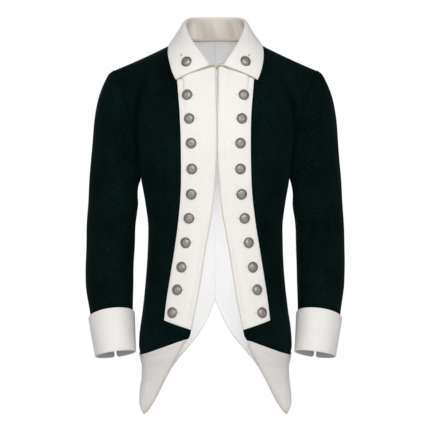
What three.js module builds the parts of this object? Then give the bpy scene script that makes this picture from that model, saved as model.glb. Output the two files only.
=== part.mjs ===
// A regimental tailcoat in its worn, hollow form: green wool body and sleeves, cream collar, lapels
// and cuffs, skirts turned back and hooked at the sides, domed metal buttons.
// Millimetres, +Z up. The front faces -Y and the wearer's left side is +X.
// The origin is the middle of the neck, level with the inner ends of the shoulder seams.
import * as THREE from 'three';

// ---------------------------------------------------------------- driving dimensions
const WOOL = 2.0;                 // body and sleeve cloth
const FACING = 2.4;               // lapels, cuffs and turned corners: two layers pressed together
const COLLAR_WALL = 2.6;
const LINING = 1.0;
const SEAM = 0.3;                 // air between two pieces that meet or lie on each other
const ROUND = 2.3;                // 2 is an ellipse, more is squarer: the body's cross-section

const UNDERARM_Z = -238;          // lowest point of the armhole
const SHOULDER = { neckX: 75, neckZ: 11, tipX: 222, tipZ: -58, sag: 2.5 };
const NECK = { frontZ: -55, frontY: -92, backZ: 10, backY: 68 };
const ARMHOLE = { depth: 58, hollow: 5 };     // half width front to back, and how far it bows inwards
const FRONT_LEAN = 4;             // the front edges hang this far towards the wearer's left
const VENT_Z = -559;              // top of the centre back vent
const TIP_Z = -812;               // lowest point of the skirts

// The body below the armholes: half width, and how deep the front and the back are.
const BODY = [
  { z: -238, half: 171.5, front: 128, back: 118 },
  { z: -300, half: 162.5, front: 124, back: 112 },
  { z: -350, half: 153.5, front: 118, back: 105 },
  { z: -405, half: 147.5, front: 113, back: 101 },
  { z: -460, half: 149.0, front: 113, back: 103 },
  { z: -520, half: 153.0, front: 116, back: 109 },
  { z: -580, half: 159.0, front: 121, back: 114 },
  { z: -640, half: 167.0, front: 125, back: 102 },
  { z: -686, half: 167.0, front: 103, back: 82 },
  { z: -735, half: 162.5, front: 71, back: 56 },
  { z: -785, half: 165.0, front: 34, back: 30 },
  { z: -812, half: 157.5, front: 16, back: 15 },
];

// Front edge: half of the gap between the two fronts. Lapel: how far out its buttoned edge lies.
const FRONT_EDGE = [
  { z: -54, gap: 4.0, lapel: 87.5 }, { z: -84, gap: 3.7, lapel: 87.0 },
  { z: -123, gap: 3.2, lapel: 82.6 }, { z: -150, gap: 2.2, lapel: 79.6 },
  { z: -176, gap: 1.6, lapel: 77.0 }, { z: -220, gap: 1.6, lapel: 75.2 },
  { z: -242, gap: 2.0, lapel: 75.1 }, { z: -268, gap: 3.4, lapel: 75.2 },
  { z: -295, gap: 4.7, lapel: 75.6 }, { z: -321, gap: 6.6, lapel: 76.5 },
  { z: -348, gap: 8.8, lapel: 78.3 }, { z: -374, gap: 12.0, lapel: 81.2 },
  { z: -400, gap: 16.6, lapel: 84.2 }, { z: -460, gap: 27.4, lapel: 93.0 },
  { z: -515, gap: 35.5, lapel: 102.0 }, { z: -563, gap: 43.9, lapel: 109.5 },
  { z: -629, gap: 58.3, lapel: 117.0 }, { z: -653, gap: 67.6, lapel: 120.0 },
];
const LAPEL = { topLevel: 0.985, bottomInner: -629, bottomOuter: -612 };

// Lines on the skirts as seen from the front (or the back): fold lines and the turned corners' edges.
const FRONT_FOLD = [
  { x: 67.6, z: -653 }, { x: 108.5, z: -730 }, { x: 149.4, z: -805 }, { x: 157.5, z: TIP_Z },
];
const FRONT_CORNER = [{ x: 58, z: -644 }, { x: 73, z: -651 }, { x: 106, z: -664 }, { x: 167, z: -684 }];
const BACK_FOLD = [
  { x: 0, z: VENT_Z }, { x: 22.7, z: -612 }, { x: 41, z: -642 }, { x: 60, z: -666 },
  { x: 84, z: -694 }, { x: 125, z: -752 }, { x: 157.5, z: TIP_Z },
];
const BACK_CORNER = [{ x: 0, z: -546 }, { x: 60, z: -580 }, { x: 120, z: -628 }, { x: 167, z: -684 }];

// Sleeve rings: outer and inner side as seen from the front, and where the ring sits front to back.
const SLEEVE = [
  { at: 0, outX: 222.6, outZ: -57.5, inX: 173.4, inZ: -238, midY: 0, deep: 58.4, tilt: 0, hollow: 4.6 },
  { at: 1, outX: 233, outZ: -64, inX: 175.0, inZ: -244, midY: 0, deep: 62, tilt: 0, hollow: 2 },
  { at: 2, outX: 246, outZ: -86, inX: 174.0, inZ: -252, midY: 1, deep: 65, tilt: 0, hollow: 1 },
  { at: 3, outX: 258, outZ: -120, inX: 172.3, inZ: -263, midY: 2, deep: 67, tilt: 0, hollow: 0 },
  { at: 4, outX: 266, outZ: -168, inX: 169.6, inZ: -280, midY: 4, deep: 68, tilt: 0, hollow: 0 },
  { at: 5, outX: 272, outZ: -232, inX: 166.6, inZ: -305, midY: 7, deep: 67, tilt: -2, hollow: 0 },
  { at: 6, outX: 278, outZ: -305, inX: 168.0, inZ: -345, midY: 9, deep: 66, tilt: -1, hollow: 0 },
  { at: 7, outX: 283, outZ: -380, inX: 172.5, inZ: -385, midY: 9, deep: 65, tilt: 3, hollow: 0 },
  { at: 8, outX: 285.5, outZ: -455, inX: 176.5, inZ: -445, midY: 2, deep: 62, tilt: 8, hollow: 0 },
  { at: 9, outX: 284.5, outZ: -525, inX: 179.0, inZ: -515, midY: -9, deep: 59, tilt: 9, hollow: 0 },
  { at: 10, outX: 275, outZ: -592, inX: 181.0, inZ: -582, midY: -20, deep: 56, tilt: 9, hollow: 0 },
  { at: 11, outX: 263.8, outZ: -665, inX: 178.4, inZ: -655, midY: -33.5, deep: 51.4, tilt: 9, hollow: 0 },
];
const FORE_SEAM = 138;            // degrees round the sleeve from its outer side, by way of the front
const HIND_SEAM = 246;

const CUFF = [
  { at: 0, outX: 279, outZ: -598, inX: 177.0, inZ: -590, midY: -22, deep: 61, tilt: 12, hollow: 0 },
  { at: 0.5, outX: 272.5, outZ: -642, inX: 175.6, inZ: -633, midY: -30, deep: 57, tilt: 10, hollow: 0 },
  { at: 1, outX: 264, outZ: -687, inX: 173.5, inZ: -675, midY: -38, deep: 52.5, tilt: 9, hollow: 0 },
];
const CUFF_LENGTH = 92;
const CUFF_SLIT = { height: 26, half: 3.4, corner: 6 };

// The collar from its front end to the middle of the back. seam: where it is sewn on, as an x on the
// neckline. fold: the top edge. edge: the outer edge, given by x and z on the front of the coat, or by
// all three from the shoulder seam on. bulge: crown of the fall, as a share of its width. lean: the
// front's sideways hang.
const COLLAR = [
  { seam: 7, foldX: 14.6, foldY: -99.5, foldZ: -50, edgeX: 87.3, edgeZ: -83, bulge: 0.04, lean: 3 },
  { seam: 20, foldX: 25, foldY: -97, foldZ: -35, edgeX: 94.5, edgeZ: -66, bulge: 0.05, lean: 2.5 },
  { seam: 36, foldX: 37, foldY: -88, foldZ: -18, edgeX: 99.5, edgeZ: -46, bulge: 0.05, lean: 2 },
  { seam: 52, foldX: 49, foldY: -74, foldZ: 0, edgeX: 102, edgeZ: -28, bulge: 0.04, lean: 1 },
  { seam: 66, foldX: 59, foldY: -52, foldZ: 19, edgeX: 101, edgeZ: -14, bulge: 0.03, lean: 0.5 },
  { seam: 74.5, foldX: 66, foldY: -24, foldZ: 40, edgeX: 97.5, edgeY: -8, edgeZ: 4.5, bulge: 0, lean: 0 },
  { seam: -73, foldX: 64, foldY: 8, foldZ: 52, edgeX: 94, edgeY: 20, edgeZ: 5, bulge: 0, lean: 0 },
  { seam: -60, foldX: 54, foldY: 38, foldZ: 58, edgeX: 82, edgeY: 54, edgeZ: 2.5, bulge: 0, lean: 0 },
  { seam: -34, foldX: 31, foldY: 60, foldZ: 60, edgeX: 49, edgeY: 80, edgeZ: 0, bulge: 0.02, lean: 0 },
  { seam: -0.01, foldX: 0, foldY: 67, foldZ: 60, edgeX: 0, edgeY: 88, edgeZ: -2, bulge: 0.02, lean: 0 },
];
const COLLAR_FOLD_RADIUS = 2.7;
// The stand is sewn inside the neckline: this far behind the cloth's outer face, and this far up.
const COLLAR_SEAM = { inset: WOOL / 2 + 0.4, rise: 2.8 };
const COLLAR_OVER_LAPEL = 1.2;    // the least air between the fall and what it covers

const BUTTON = { radius: 12.2, back: 11, rim: 1.4, dome: 5.2, shoulder: 0.72 };
const COLLAR_BUTTON = { x: 64, z: -41 };
// Lapel buttons from the top down: distance from the coat's middle line, and height.
const LAPEL_BUTTONS = [
  { x: 61, z: -114.6 }, { x: 56.8, z: -166.1 }, { x: 53.2, z: -219.6 }, { x: 52.5, z: -275.5 },
  { x: 54.3, z: -330.5 }, { x: 59.9, z: -382.9 }, { x: 67.9, z: -436.4 }, { x: 76.8, z: -489.9 },
  { x: 86.3, z: -539.4 }, { x: 96.7, z: -589.3 },
];
const HOOK = { z: -66, wire: 0.6, reach: 1.5 };

// The largest folds of the cloth: soft troughs in the front view, from one end to the other.
const FRONT_FOLDS = [
  { fromX: 140, fromZ: -78, toX: 172, toZ: -160, wide: 15, deep: 4.5 },
  { fromX: 160, fromZ: -262, toX: 96, toZ: -330, wide: 17, deep: 3.5 },
  { fromX: 150, fromZ: -395, toX: 98, toZ: -425, wide: 15, deep: 3 },
];
const BACK_FOLDS = [
  { fromX: 138, fromZ: -80, toX: 170, toZ: -165, wide: 16, deep: 4.5 },
  { fromX: 158, fromZ: -268, toX: 80, toZ: -345, wide: 18, deep: 4 },
  { fromX: 140, fromZ: -400, toX: 30, toZ: -430, wide: 16, deep: 3.5 },
];
// Sleeve creases: ring position, direction round the arm in degrees, and size.
const SLEEVE_FOLDS = [
  { at: 5.4, angle: 150, span: 80, wide: 0.55, deep: 4 },
  { at: 7.0, angle: 100, span: 90, wide: 0.5, deep: 4.5 },
  { at: 8.1, angle: 70, span: 85, wide: 0.5, deep: 3.5 },
];

// ---------------------------------------------------------------- small helpers
const rad = THREE.MathUtils.degToRad;
const lerp = THREE.MathUtils.lerp;
const clamp = THREE.MathUtils.clamp;
const steps = (count) => Array.from({ length: count + 1 }, (_, i) => i / count);

// Reads one column of a table as a smooth curve that never overshoots its rows.
function column(rows, along, name) {
  const sorted = [...rows].sort((a, b) => a[along] - b[along]);
  const xs = sorted.map((row) => row[along]);
  const ys = sorted.map((row) => row[name]);
  const slopes = xs.slice(1).map((x, i) => (ys[i + 1] - ys[i]) / (x - xs[i]));
  const tangents = xs.map((_, i) => {
    if (i === 0) return slopes[0];
    if (i === xs.length - 1) return slopes[i - 1];
    const product = slopes[i - 1] * slopes[i];
    return product <= 0 ? 0 : (2 * product) / (slopes[i - 1] + slopes[i]);
  });
  return (value) => {
    const x = clamp(value, xs[0], xs[xs.length - 1]);
    let i = 0;
    while (i < xs.length - 2 && x > xs[i + 1]) i += 1;
    const width = xs[i + 1] - xs[i];
    const s = (x - xs[i]) / width;
    const s2 = s * s;
    const s3 = s2 * s;
    return ys[i] * (2 * s3 - 3 * s2 + 1) + tangents[i] * width * (s3 - 2 * s2 + s)
      + ys[i + 1] * (3 * s2 - 2 * s3) + tangents[i + 1] * width * (s3 - s2);
  };
}

// Superellipse in degrees: 90 is the middle of the front or back, 0 is the side.
const across = (angle) => Math.sign(Math.cos(rad(angle))) * Math.abs(Math.cos(rad(angle))) ** (2 / ROUND);
const outwards = (angle) => Math.abs(Math.sin(rad(angle))) ** (2 / ROUND);
const angleAt = (ratio) => {
  const cosine = Math.sign(ratio) * Math.min(1, Math.abs(ratio)) ** (ROUND / 2);
  return THREE.MathUtils.radToDeg(Math.acos(cosine));
};

// How deep a point lies in a set of troughs.
function troughs(folds, x, z) {
  return folds.reduce((sum, fold) => {
    const dx = fold.toX - fold.fromX;
    const dz = fold.toZ - fold.fromZ;
    const length = dx * dx + dz * dz;
    const along = clamp(((x - fold.fromX) * dx + (z - fold.fromZ) * dz) / length, 0, 1);
    const away = Math.hypot(x - fold.fromX - along * dx, z - fold.fromZ - along * dz);
    return sum + fold.deep * Math.exp(-((away / fold.wide) ** 2)) * Math.sin(Math.PI * (0.15 + 0.7 * along));
  }, 0);
}

// ---------------------------------------------------------------- the body's surface
const bodyHalf = column(BODY, 'z', 'half');
const bodyDeep = { front: column(BODY, 'z', 'front'), back: column(BODY, 'z', 'back') };
const edgeGap = column(FRONT_EDGE, 'z', 'gap');
const lapelEdge = column(FRONT_EDGE, 'z', 'lapel');
const FACES = {
  front: { sign: -1, neckY: NECK.frontY, neckZ: NECK.frontZ, folds: FRONT_FOLDS },
  back: { sign: 1, neckY: NECK.backY, neckZ: NECK.backZ, folds: BACK_FOLDS },
};

const shoulderZ = (x) => {
  const out = (x - SHOULDER.neckX) / (SHOULDER.tipX - SHOULDER.neckX);
  return lerp(SHOULDER.neckZ, SHOULDER.tipZ, out) - SHOULDER.sag * Math.sin(Math.PI * clamp(out, 0, 1));
};
const neckRound = (x) => Math.sqrt(Math.max(0, 1 - (x / SHOULDER.neckX) ** 2));

// Top edge of a front or back: the neckline, then the shoulder seam.
function topZ(face, x) {
  const out = Math.abs(x);
  if (out >= SHOULDER.neckX) return shoulderZ(out);
  const bend = face === 'front' ? (out / SHOULDER.neckX) ** 1.75 : (out / SHOULDER.neckX) ** 3;
  return lerp(FACES[face].neckZ, SHOULDER.neckZ, bend);
}
const topY = (face, x) => FACES[face].neckY * neckRound(x) + (FACES[face].sign * SEAM) / 2;

// The armhole's edge, level 0 at the underarm and 1 at the shoulder tip.
function armholeAt(level) {
  const up = 2 * level - 1;
  const bulge = Math.sqrt(Math.max(0, 1 - up * up));
  const middleX = (SHOULDER.tipX + bodyHalf(UNDERARM_Z)) / 2;
  const halfX = (SHOULDER.tipX - bodyHalf(UNDERARM_Z)) / 2;
  return { x: middleX + halfX * up - ARMHOLE.hollow * bulge * bulge, y: ARMHOLE.depth * bulge };
}
const roll = (level, x) => {
  const near = clamp(Math.abs(x) / SHOULDER.neckX, 0, 1);
  const power = 1 - 0.5 * near * near * (3 - 2 * near);
  return Math.max(0, 1 - level * level) ** power;
};
// Half width and edge angle that bring the cross-section through the armhole's edge.
function yoke(face, level) {
  const edge = armholeAt(level);
  const deep = bodyDeep[face](UNDERARM_Z);
  const ratio = level > 0.9999 ? 2 * ARMHOLE.depth / (deep * Math.SQRT2)
    : edge.y / (deep * Math.sqrt(1 - level * level));
  const angle = THREE.MathUtils.radToDeg(Math.asin(Math.min(1, ratio) ** (ROUND / 2)));
  return { angle, half: edge.x / across(angle) };
}

// Signed x of a front edge, measured outwards on its own side.
const frontEdgeX = (side, z) => edgeGap(z) + side * FRONT_LEAN;

// Angle of a piece's inner edge: the front edge, or the centre back seam.
function innerAngle(side, face, half, z) {
  if (face === 'back') return angleAt(SEAM / 2 / half);
  return angleAt(frontEdgeX(side, z) / half);
}

// Lower body. angle 90 is the middle, 0 the side seam.
function lowerPoint(side, face, angle, z) {
  const { sign, folds } = FACES[face];
  const x = bodyHalf(z) * across(angle);
  const dent = troughs(folds, x, z) * outwards(angle);
  const y = sign * (bodyDeep[face](z) * outwards(angle) - dent + (SEAM / 2) * (1 - outwards(angle)));
  return new THREE.Vector3(side * (x - dent * 0.3 * (1 - outwards(angle))), y, z);
}

// Upper body. t runs from the inner edge to the armhole, level from the underarm to the shoulder.
function upperPoint(side, face, t, level) {
  const { sign, folds } = FACES[face];
  const here = yoke(face, level);
  const top = yoke(face, 1);
  const { neckZ } = FACES[face];
  const innerZ = lerp(UNDERARM_Z, neckZ, level);
  const inner = innerAngle(side, face, here.half, innerZ);
  const angle = angleBetween(side, face, t, here.half, innerZ, inner, here.angle);
  const topInner = innerAngle(side, face, top.half, neckZ);
  const topX = top.half * across(angleBetween(side, face, t, top.half, neckZ, topInner, top.angle));
  const x = here.half * across(angle);
  const z = lerp(UNDERARM_Z, topZ(face, topX), level);
  const full = sign * bodyDeep[face](UNDERARM_Z) * outwards(angle);
  const share = roll(level, topX);
  const dent = troughs(folds, x, z) * share * outwards(angle);
  return new THREE.Vector3(side * x, lerp(topY(face, topX), full, share) - sign * dent, z);
}

const FOLD_LINES = { front: column(FRONT_FOLD, 'z', 'x'), back: column(BACK_FOLD, 'z', 'x') };
const CORNER_LINES = { front: column(FRONT_CORNER, 'x', 'z'), back: column(BACK_CORNER, 'x', 'z') };
const FOLD_TOP = { front: FRONT_FOLD[0].z, back: VENT_Z };

// Rows of a panel: v at the fold line, the turned corner's edge, the lapel's foot and the underarm.
const BAND = { corner: 0.14, foot: 0.2, underarm: 0.68 };
// Columns of a front: t close to the neck end of the shoulder seam, and at the lapel's buttoned edge.
const STRIP = { neck: 0.36, lapel: 0.44 };

// The lapel's buttoned edge leans with the front edge, less and less towards the collar.
const LEAN_SPAN = { from: -150, to: -450, least: 0.1 };
const leanAt = (z) => FRONT_LEAN
  * clamp((LEAN_SPAN.from - z) / (LEAN_SPAN.from - LEAN_SPAN.to), LEAN_SPAN.least, 1);
const lapelX = (side, z) => lapelEdge(z) + side * leanAt(z);

// Share of the way from the inner edge to the outer edge, in angle, at a column.
function angleBetween(side, face, t, half, z, inner, outer) {
  if (face === 'back') return lerp(inner, outer, t);
  const lapel = angleAt(lapelX(side, z) / half);
  return t < STRIP.lapel ? lerp(inner, lapel, t / STRIP.lapel)
    : lerp(lapel, outer, (t - STRIP.lapel) / (1 - STRIP.lapel));
}
const angleOf = (side, face, t, z) => angleBetween(
  side, face, t, bodyHalf(z), z, innerAngle(side, face, bodyHalf(z), z), 0);

// Height at which the fold line crosses a column of the piece.
function foldZ(side, face, t) {
  let low = TIP_Z;
  let high = FOLD_TOP[face];
  for (let i = 0; i < 40; i += 1) {
    const z = (low + high) / 2;
    if (bodyHalf(z) * across(angleOf(side, face, t, z)) > FOLD_LINES[face](z)) high = z;
    else low = z;
  }
  return (low + high) / 2;
}
const FOLD_LIP = 1.5;             // how far a turned corner reaches past the fold

// A whole front or back: t across, v from the skirt's fold line up to the neck and shoulder.
function panelPoint(side, face, t, v) {
  if (v > BAND.underarm) {
    const level = (1 - Math.cos((Math.PI * (v - BAND.underarm)) / (1 - BAND.underarm))) / 2;
    return upperPoint(side, face, t, level);
  }
  const fold = foldZ(side, face, t);
  const foldX = bodyHalf(fold) * across(angleOf(side, face, t, fold));
  const corner = CORNER_LINES[face](foldX);
  const foot = face === 'back' ? lerp(corner, UNDERARM_Z, 0.12)
    : lerp(LAPEL.bottomInner, LAPEL.bottomOuter, Math.min(1, t / STRIP.lapel));
  let z = lerp(foot, UNDERARM_Z, (v - BAND.foot) / (BAND.underarm - BAND.foot));
  if (v < BAND.foot) z = lerp(corner, foot, (v - BAND.corner) / (BAND.foot - BAND.corner));
  if (v < BAND.corner) z = lerp(fold, corner, v / BAND.corner);
  if (v < 0) z = fold - FOLD_LIP;
  return lowerPoint(side, face, angleOf(side, face, t, z), z);
}

// The front's surface at a place given as seen from the front, x measured outwards.
function frontAt(x, z) {
  if (z <= UNDERARM_Z) return lowerPoint(1, 'front', angleAt(x / bodyHalf(z)), z);
  const top = yoke('front', 1);
  let low = -0.2;
  let high = 1.2;
  let level = 0;
  for (let i = 0; i < 30; i += 1) {
    const t = (low + high) / 2;
    const topAngle = angleBetween(
      1, 'front', t, top.half, NECK.frontZ, innerAngle(1, 'front', top.half, NECK.frontZ), top.angle);
    level = clamp((z - UNDERARM_Z) / (topZ('front', top.half * across(topAngle)) - UNDERARM_Z), 0, 1);
    if (upperPoint(1, 'front', t, level).x > x) high = t;
    else low = t;
  }
  return upperPoint(1, 'front', (low + high) / 2, level);
}

function frontNormal(x, z) {
  const d = 1.5;
  const acrossX = frontAt(x + d, z).sub(frontAt(x - d, z));
  const upZ = frontAt(x, z + d).sub(frontAt(x, z - d));
  return acrossX.cross(upZ).normalize();
}

// ---------------------------------------------------------------- walls of cloth
// Builds a closed wall on a grid. point(u, v) is a surface, lift is how far the wall's outer face
// lies off it, thick is the wall's thickness inwards, and inside is a point behind the surface.
function clothWall(point, us, vs, lift, thick, inside) {
  const step = 2e-3;
  const rows = us.map((u) => vs.map((v) => {
    const place = point(u, v);
    const du = point(Math.min(1, u + step), v).sub(point(Math.max(0, u - step), v));
    const low = Math.max(0, v);
    const dv = point(u, Math.min(1, low + step)).sub(point(u, Math.max(0, low - step)));
    return { place, normal: du.cross(dv).normalize() };
  }));
  const middle = rows[us.length >> 1][vs.length >> 1];
  const facing = Math.sign(middle.normal.dot(middle.place.clone().sub(inside(middle.place))));
  const positions = [];
  [lift, lift - thick].forEach((distance) => rows.forEach((row) => row.forEach(({ place, normal }) => {
    positions.push(...place.clone().addScaledVector(normal, facing * distance).toArray());
  })));
  const count = vs.length;
  const inner = us.length * count;
  const index = [];
  const quad = (a, b, c, d) => index.push(...(facing > 0 ? [a, b, c, a, c, d] : [a, c, b, a, d, c]));
  for (let i = 0; i < us.length - 1; i += 1) {
    for (let j = 0; j < count - 1; j += 1) {
      const a = i * count + j;
      quad(a, a + count, a + count + 1, a + 1);
      quad(inner + a, inner + a + 1, inner + a + count + 1, inner + a + count);
    }
    const start = i * count;
    const end = start + count - 1;
    quad(start, inner + start, inner + start + count, start + count);
    quad(end, end + count, inner + end + count, inner + end);
  }
  for (let j = 0; j < count - 1; j += 1) {
    const last = (us.length - 1) * count + j;
    quad(j, j + 1, inner + j + 1, inner + j);
    quad(last, inner + last, inner + last + 1, last + 1);
  }
  const geometry = new THREE.BufferGeometry();
  geometry.setAttribute('position', new THREE.Float32BufferAttribute(positions, 3));
  geometry.setIndex(index);
  return geometry;
}

const bodyMiddle = (place) => new THREE.Vector3(place.x * 0.5, 0, Math.min(place.z, -70));

// ---------------------------------------------------------------- materials
const finish = (color, roughness, metalness = 0) => new THREE.MeshStandardMaterial({
  color, roughness, metalness, side: THREE.FrontSide,
});
const greenWool = () => finish(0x0b2220, 0.95);
const creamWool = () => finish(0xf3efe6, 0.95);
const turnbackWool = () => finish(0xe4e1dd, 0.9);
const paleLining = () => finish(0xdcdcdc, 0.7);
const pewter = () => finish(0x8c8780, 0.45, 0.9);
const steelWire = () => finish(0xa09b94, 0.4, 0.9);

const coat = new THREE.Group();
function add(name, geometry, material) {
  const mesh = new THREE.Mesh(geometry, material);
  mesh.name = name;
  coat.add(mesh);
  return mesh;
}

const SIDES = [{ word: 'left', side: 1 }, { word: 'right', side: -1 }];

// ---------------------------------------------------------------- fronts, backs and lining
const stretch = (from, to, count) => steps(count).slice(1).map((s) => lerp(from, to, s));

// Columns and rows of the walls. A lapel, lining or turned corner takes its rows and columns from
// here, so it lies flat on its panel.
function panelColumns(face) {
  if (face === 'front') return [0, ...stretch(0, STRIP.neck, 3), STRIP.lapel, ...stretch(STRIP.lapel, 1, 5)];
  const top = yoke(face, 1);
  const inner = innerAngle(1, face, top.half, NECK.backZ);
  const neck = (angleAt(SHOULDER.neckX / top.half) - inner) / (top.angle - inner);
  return [0, ...stretch(0, neck, 4), ...stretch(neck, 1, 5)];
}
const cornerRows = [0, ...stretch(0, BAND.corner, 4)];
const middleRows = [...stretch(BAND.corner, BAND.foot, 2), ...stretch(BAND.foot, BAND.underarm, 9)];
const topLevel = Math.acos(1 - 2 * LAPEL.topLevel) / Math.PI;
const lapelTop = lerp(BAND.underarm, 1, topLevel);
const upperRows = [...stretch(BAND.underarm, lapelTop, 7), 1];

function addPanels({ word, side }) {
  ['front', 'back'].forEach((face) => {
    const rows = [...cornerRows, ...middleRows, ...upperRows];
    const point = (t, v) => panelPoint(side, face, t, v);
    add(`${face}_${word}`, clothWall(point, panelColumns(face), rows, 0, WOOL, bodyMiddle), greenWool());
  });
  const point = (t, v) => panelPoint(side, 'back', t, v);
  const rows = [...cornerRows.slice(1), ...middleRows, ...upperRows.slice(0, -1)];
  const wall = clothWall(point, panelColumns('back').slice(0, -1), rows, -WOOL - SEAM, LINING, bodyMiddle);
  add(`lining_${word}`, wall, paleLining());
}

// ---------------------------------------------------------------- turned skirt corners
function addTurnbacks({ word, side }) {
  ['front', 'back'].forEach((face) => {
    const point = (t, v) => panelPoint(side, face, t, v);
    const rows = [-0.001, ...cornerRows];
    const wall = clothWall(point, panelColumns(face), rows, SEAM + FACING, FACING, bodyMiddle);
    add(`turnback_${face}_${word}`, wall, turnbackWool());
  });
}

// ---------------------------------------------------------------- lapels
function addLapel({ word, side }) {
  const point = (t, v) => panelPoint(side, 'front', t, v);
  const columns = panelColumns('front').filter((t) => t <= STRIP.lapel);
  const rows = [...middleRows, ...upperRows.slice(0, -1)].filter((v) => v >= BAND.foot);
  add(`lapel_${word}`, clothWall(point, columns, rows, SEAM + FACING, FACING, bodyMiddle), creamWool());
}

// ---------------------------------------------------------------- sleeves and cuffs
const RING_COLUMNS = ['outX', 'outZ', 'inX', 'inZ', 'midY', 'deep', 'tilt', 'hollow'];
const ringReader = (rows) => Object.fromEntries(
  RING_COLUMNS.map((name) => [name, column(rows, 'at', name)]));
const sleeveRings = ringReader(SLEEVE);
const cuffRings = ringReader(CUFF);

// Point on a ring. turn is in degrees: 0 the outer side, 90 the front, 180 the inner side.
function ringPoint(side, rings, at, turn, dent = 0) {
  const cosine = Math.cos(rad(turn));
  const sine = Math.sin(rad(turn));
  const deep = rings.deep(at) - dent;
  const x = lerp(rings.inX(at), rings.outX(at), (1 + cosine) / 2) - rings.hollow(at) * sine * sine
    - dent * cosine;
  const z = lerp(rings.inZ(at), rings.outZ(at), (1 + cosine) / 2)
    + Math.tan(rad(rings.tilt(at))) * deep * sine;
  return new THREE.Vector3(side * x, rings.midY(at) - deep * sine, z);
}
function sleeveDent(at, turn) {
  return SLEEVE_FOLDS.reduce((sum, fold) => {
    const round = (turn - fold.angle) / fold.span;
    const along = (at - fold.at - 0.35 * round) / fold.wide;
    return sum + fold.deep * Math.exp(-round * round - along * along);
  }, 0);
}
const LAST_RING = SLEEVE[SLEEVE.length - 1].at;

function addSleeve({ word, side }) {
  // A point inside the sleeve beside a point of its wall.
  const inside = (rings, last) => (place) => {
    const at = last / 2;
    return new THREE.Vector3(side * lerp(rings.inX(at), rings.outX(at), 0.5), rings.midY(at), place.z);
  };
  const cut = 0.16;               // half of the seam gap, in degrees round the arm
  const arcs = {
    upper: { from: HIND_SEAM - 360 + cut, to: FORE_SEAM - cut, count: 12 },
    under: { from: FORE_SEAM + cut, to: HIND_SEAM - cut, count: 6 },
  };
  Object.entries(arcs).forEach(([part, arc]) => {
    const point = (u, v) => {
      const turn = lerp(arc.from, arc.to, u);
      return ringPoint(side, sleeveRings, v * LAST_RING, turn, sleeveDent(v * LAST_RING, turn));
    };
    const wall = clothWall(point, steps(arc.count), steps(15), 0, WOOL, inside(sleeveRings, LAST_RING));
    add(`sleeve_${part}_${word}`, wall, greenWool());
  });
  const { half, height, corner } = CUFF_SLIT;
  const slitHalf = (v) => {
    const up = (1 - v) * CUFF_LENGTH;
    const rounded = corner - Math.sqrt(Math.max(0, corner ** 2 - Math.max(0, corner - up) ** 2));
    return up < height ? half + rounded : SEAM / 2;
  };
  const point = (u, v) => {
    const opening = THREE.MathUtils.radToDeg(slitHalf(v) / cuffRings.deep(v));
    return ringPoint(side, cuffRings, v, lerp(-90 + opening, 270 - opening, u));
  };
  const slitTop = 1 - height / CUFF_LENGTH;
  const rows = [0, 0.36, slitTop - 0.02, slitTop + 0.02, 0.94, 0.975, 1];
  add(`cuff_${word}`, clothWall(point, steps(22), rows, 0, FACING, inside(cuffRings, 1)), creamWool());
}

// ---------------------------------------------------------------- collar
// The neckline at an x: positive along the front, negative along the back.
function necklinePoint(seam) {
  const face = seam > 0 ? 'front' : 'back';
  const x = Math.abs(seam);
  return new THREE.Vector3(x, topY(face, x), topZ(face, x));
}
function collarStation(row, side) {
  const lean = side * row.lean;
  const fold = new THREE.Vector3(row.foldX + lean, row.foldY, row.foldZ);
  const seam = necklinePoint(row.seam + lean);
  const outward = new THREE.Vector3(fold.x, fold.y + 12, 0).normalize();
  seam.addScaledVector(outward, -COLLAR_SEAM.inset).setZ(seam.z + COLLAR_SEAM.rise);
  const lift = 2 * SEAM + FACING + COLLAR_WALL / 2;
  const edge = row.edgeY === undefined
    ? frontAt(row.edgeX + lean, row.edgeZ).addScaledVector(frontNormal(row.edgeX + lean, row.edgeZ), lift)
    : new THREE.Vector3(row.edgeX, row.edgeY, row.edgeZ);
  const toSeam = seam.clone().sub(fold).normalize();
  const toEdge = edge.clone().sub(fold).normalize();
  const r = COLLAR_FOLD_RADIUS;
  const standTop = fold.clone().addScaledVector(outward, -r).addScaledVector(toSeam, r);
  const fallTop = fold.clone().addScaledVector(outward, r).addScaledVector(toEdge, r);
  const width = fallTop.distanceTo(edge);
  const over = outward.clone().setZ(0.55).normalize();
  // A point of the fall, kept clear of the lapel that it covers.
  const fall = (share, amount) => {
    const place = fallTop.clone().lerp(edge, share).addScaledVector(over, amount * width);
    if (row.edgeY !== undefined || place.z > topZ('front', place.x) - 4) return place;
    const floor = frontAt(place.x, place.z).y - lift - COLLAR_OVER_LAPEL;
    return place.setY(Math.min(place.y, floor));
  };
  return [
    seam, seam.clone().lerp(standTop, 0.55), standTop, fold, fallTop,
    fall(0.25, 0.7 * row.bulge), fall(0.5, row.bulge), fall(0.76, 0.7 * row.bulge), edge,
  ];
}
function addCollar() {
  const half = (side) => COLLAR.map((row) => (
    collarStation(row, side).map((place) => place.setX(side * place.x))));
  const stations = [...half(-1), ...half(1).reverse().slice(1)];
  const curves = stations[0].map((_, i) => new THREE.CatmullRomCurve3(
    stations.map((section) => section[i]), false, 'centripetal'));
  // u runs round the neck by station, v across the section from the seam to the outer edge.
  const point = (u, v) => {
    const place = v * (curves.length - 1);
    const i = Math.min(curves.length - 2, Math.floor(place));
    return curves[i].getPoint(u).lerp(curves[i + 1].getPoint(u), place - i);
  };
  const us = steps(30);
  const vs = steps(curves.length - 1);
  const behind = (place) => new THREE.Vector3(place.x * 0.5, place.y * 0.5, place.z);
  add('collar', clothWall(point, us, vs, COLLAR_WALL / 2, COLLAR_WALL, behind), creamWool());
  return point;
}

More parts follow.
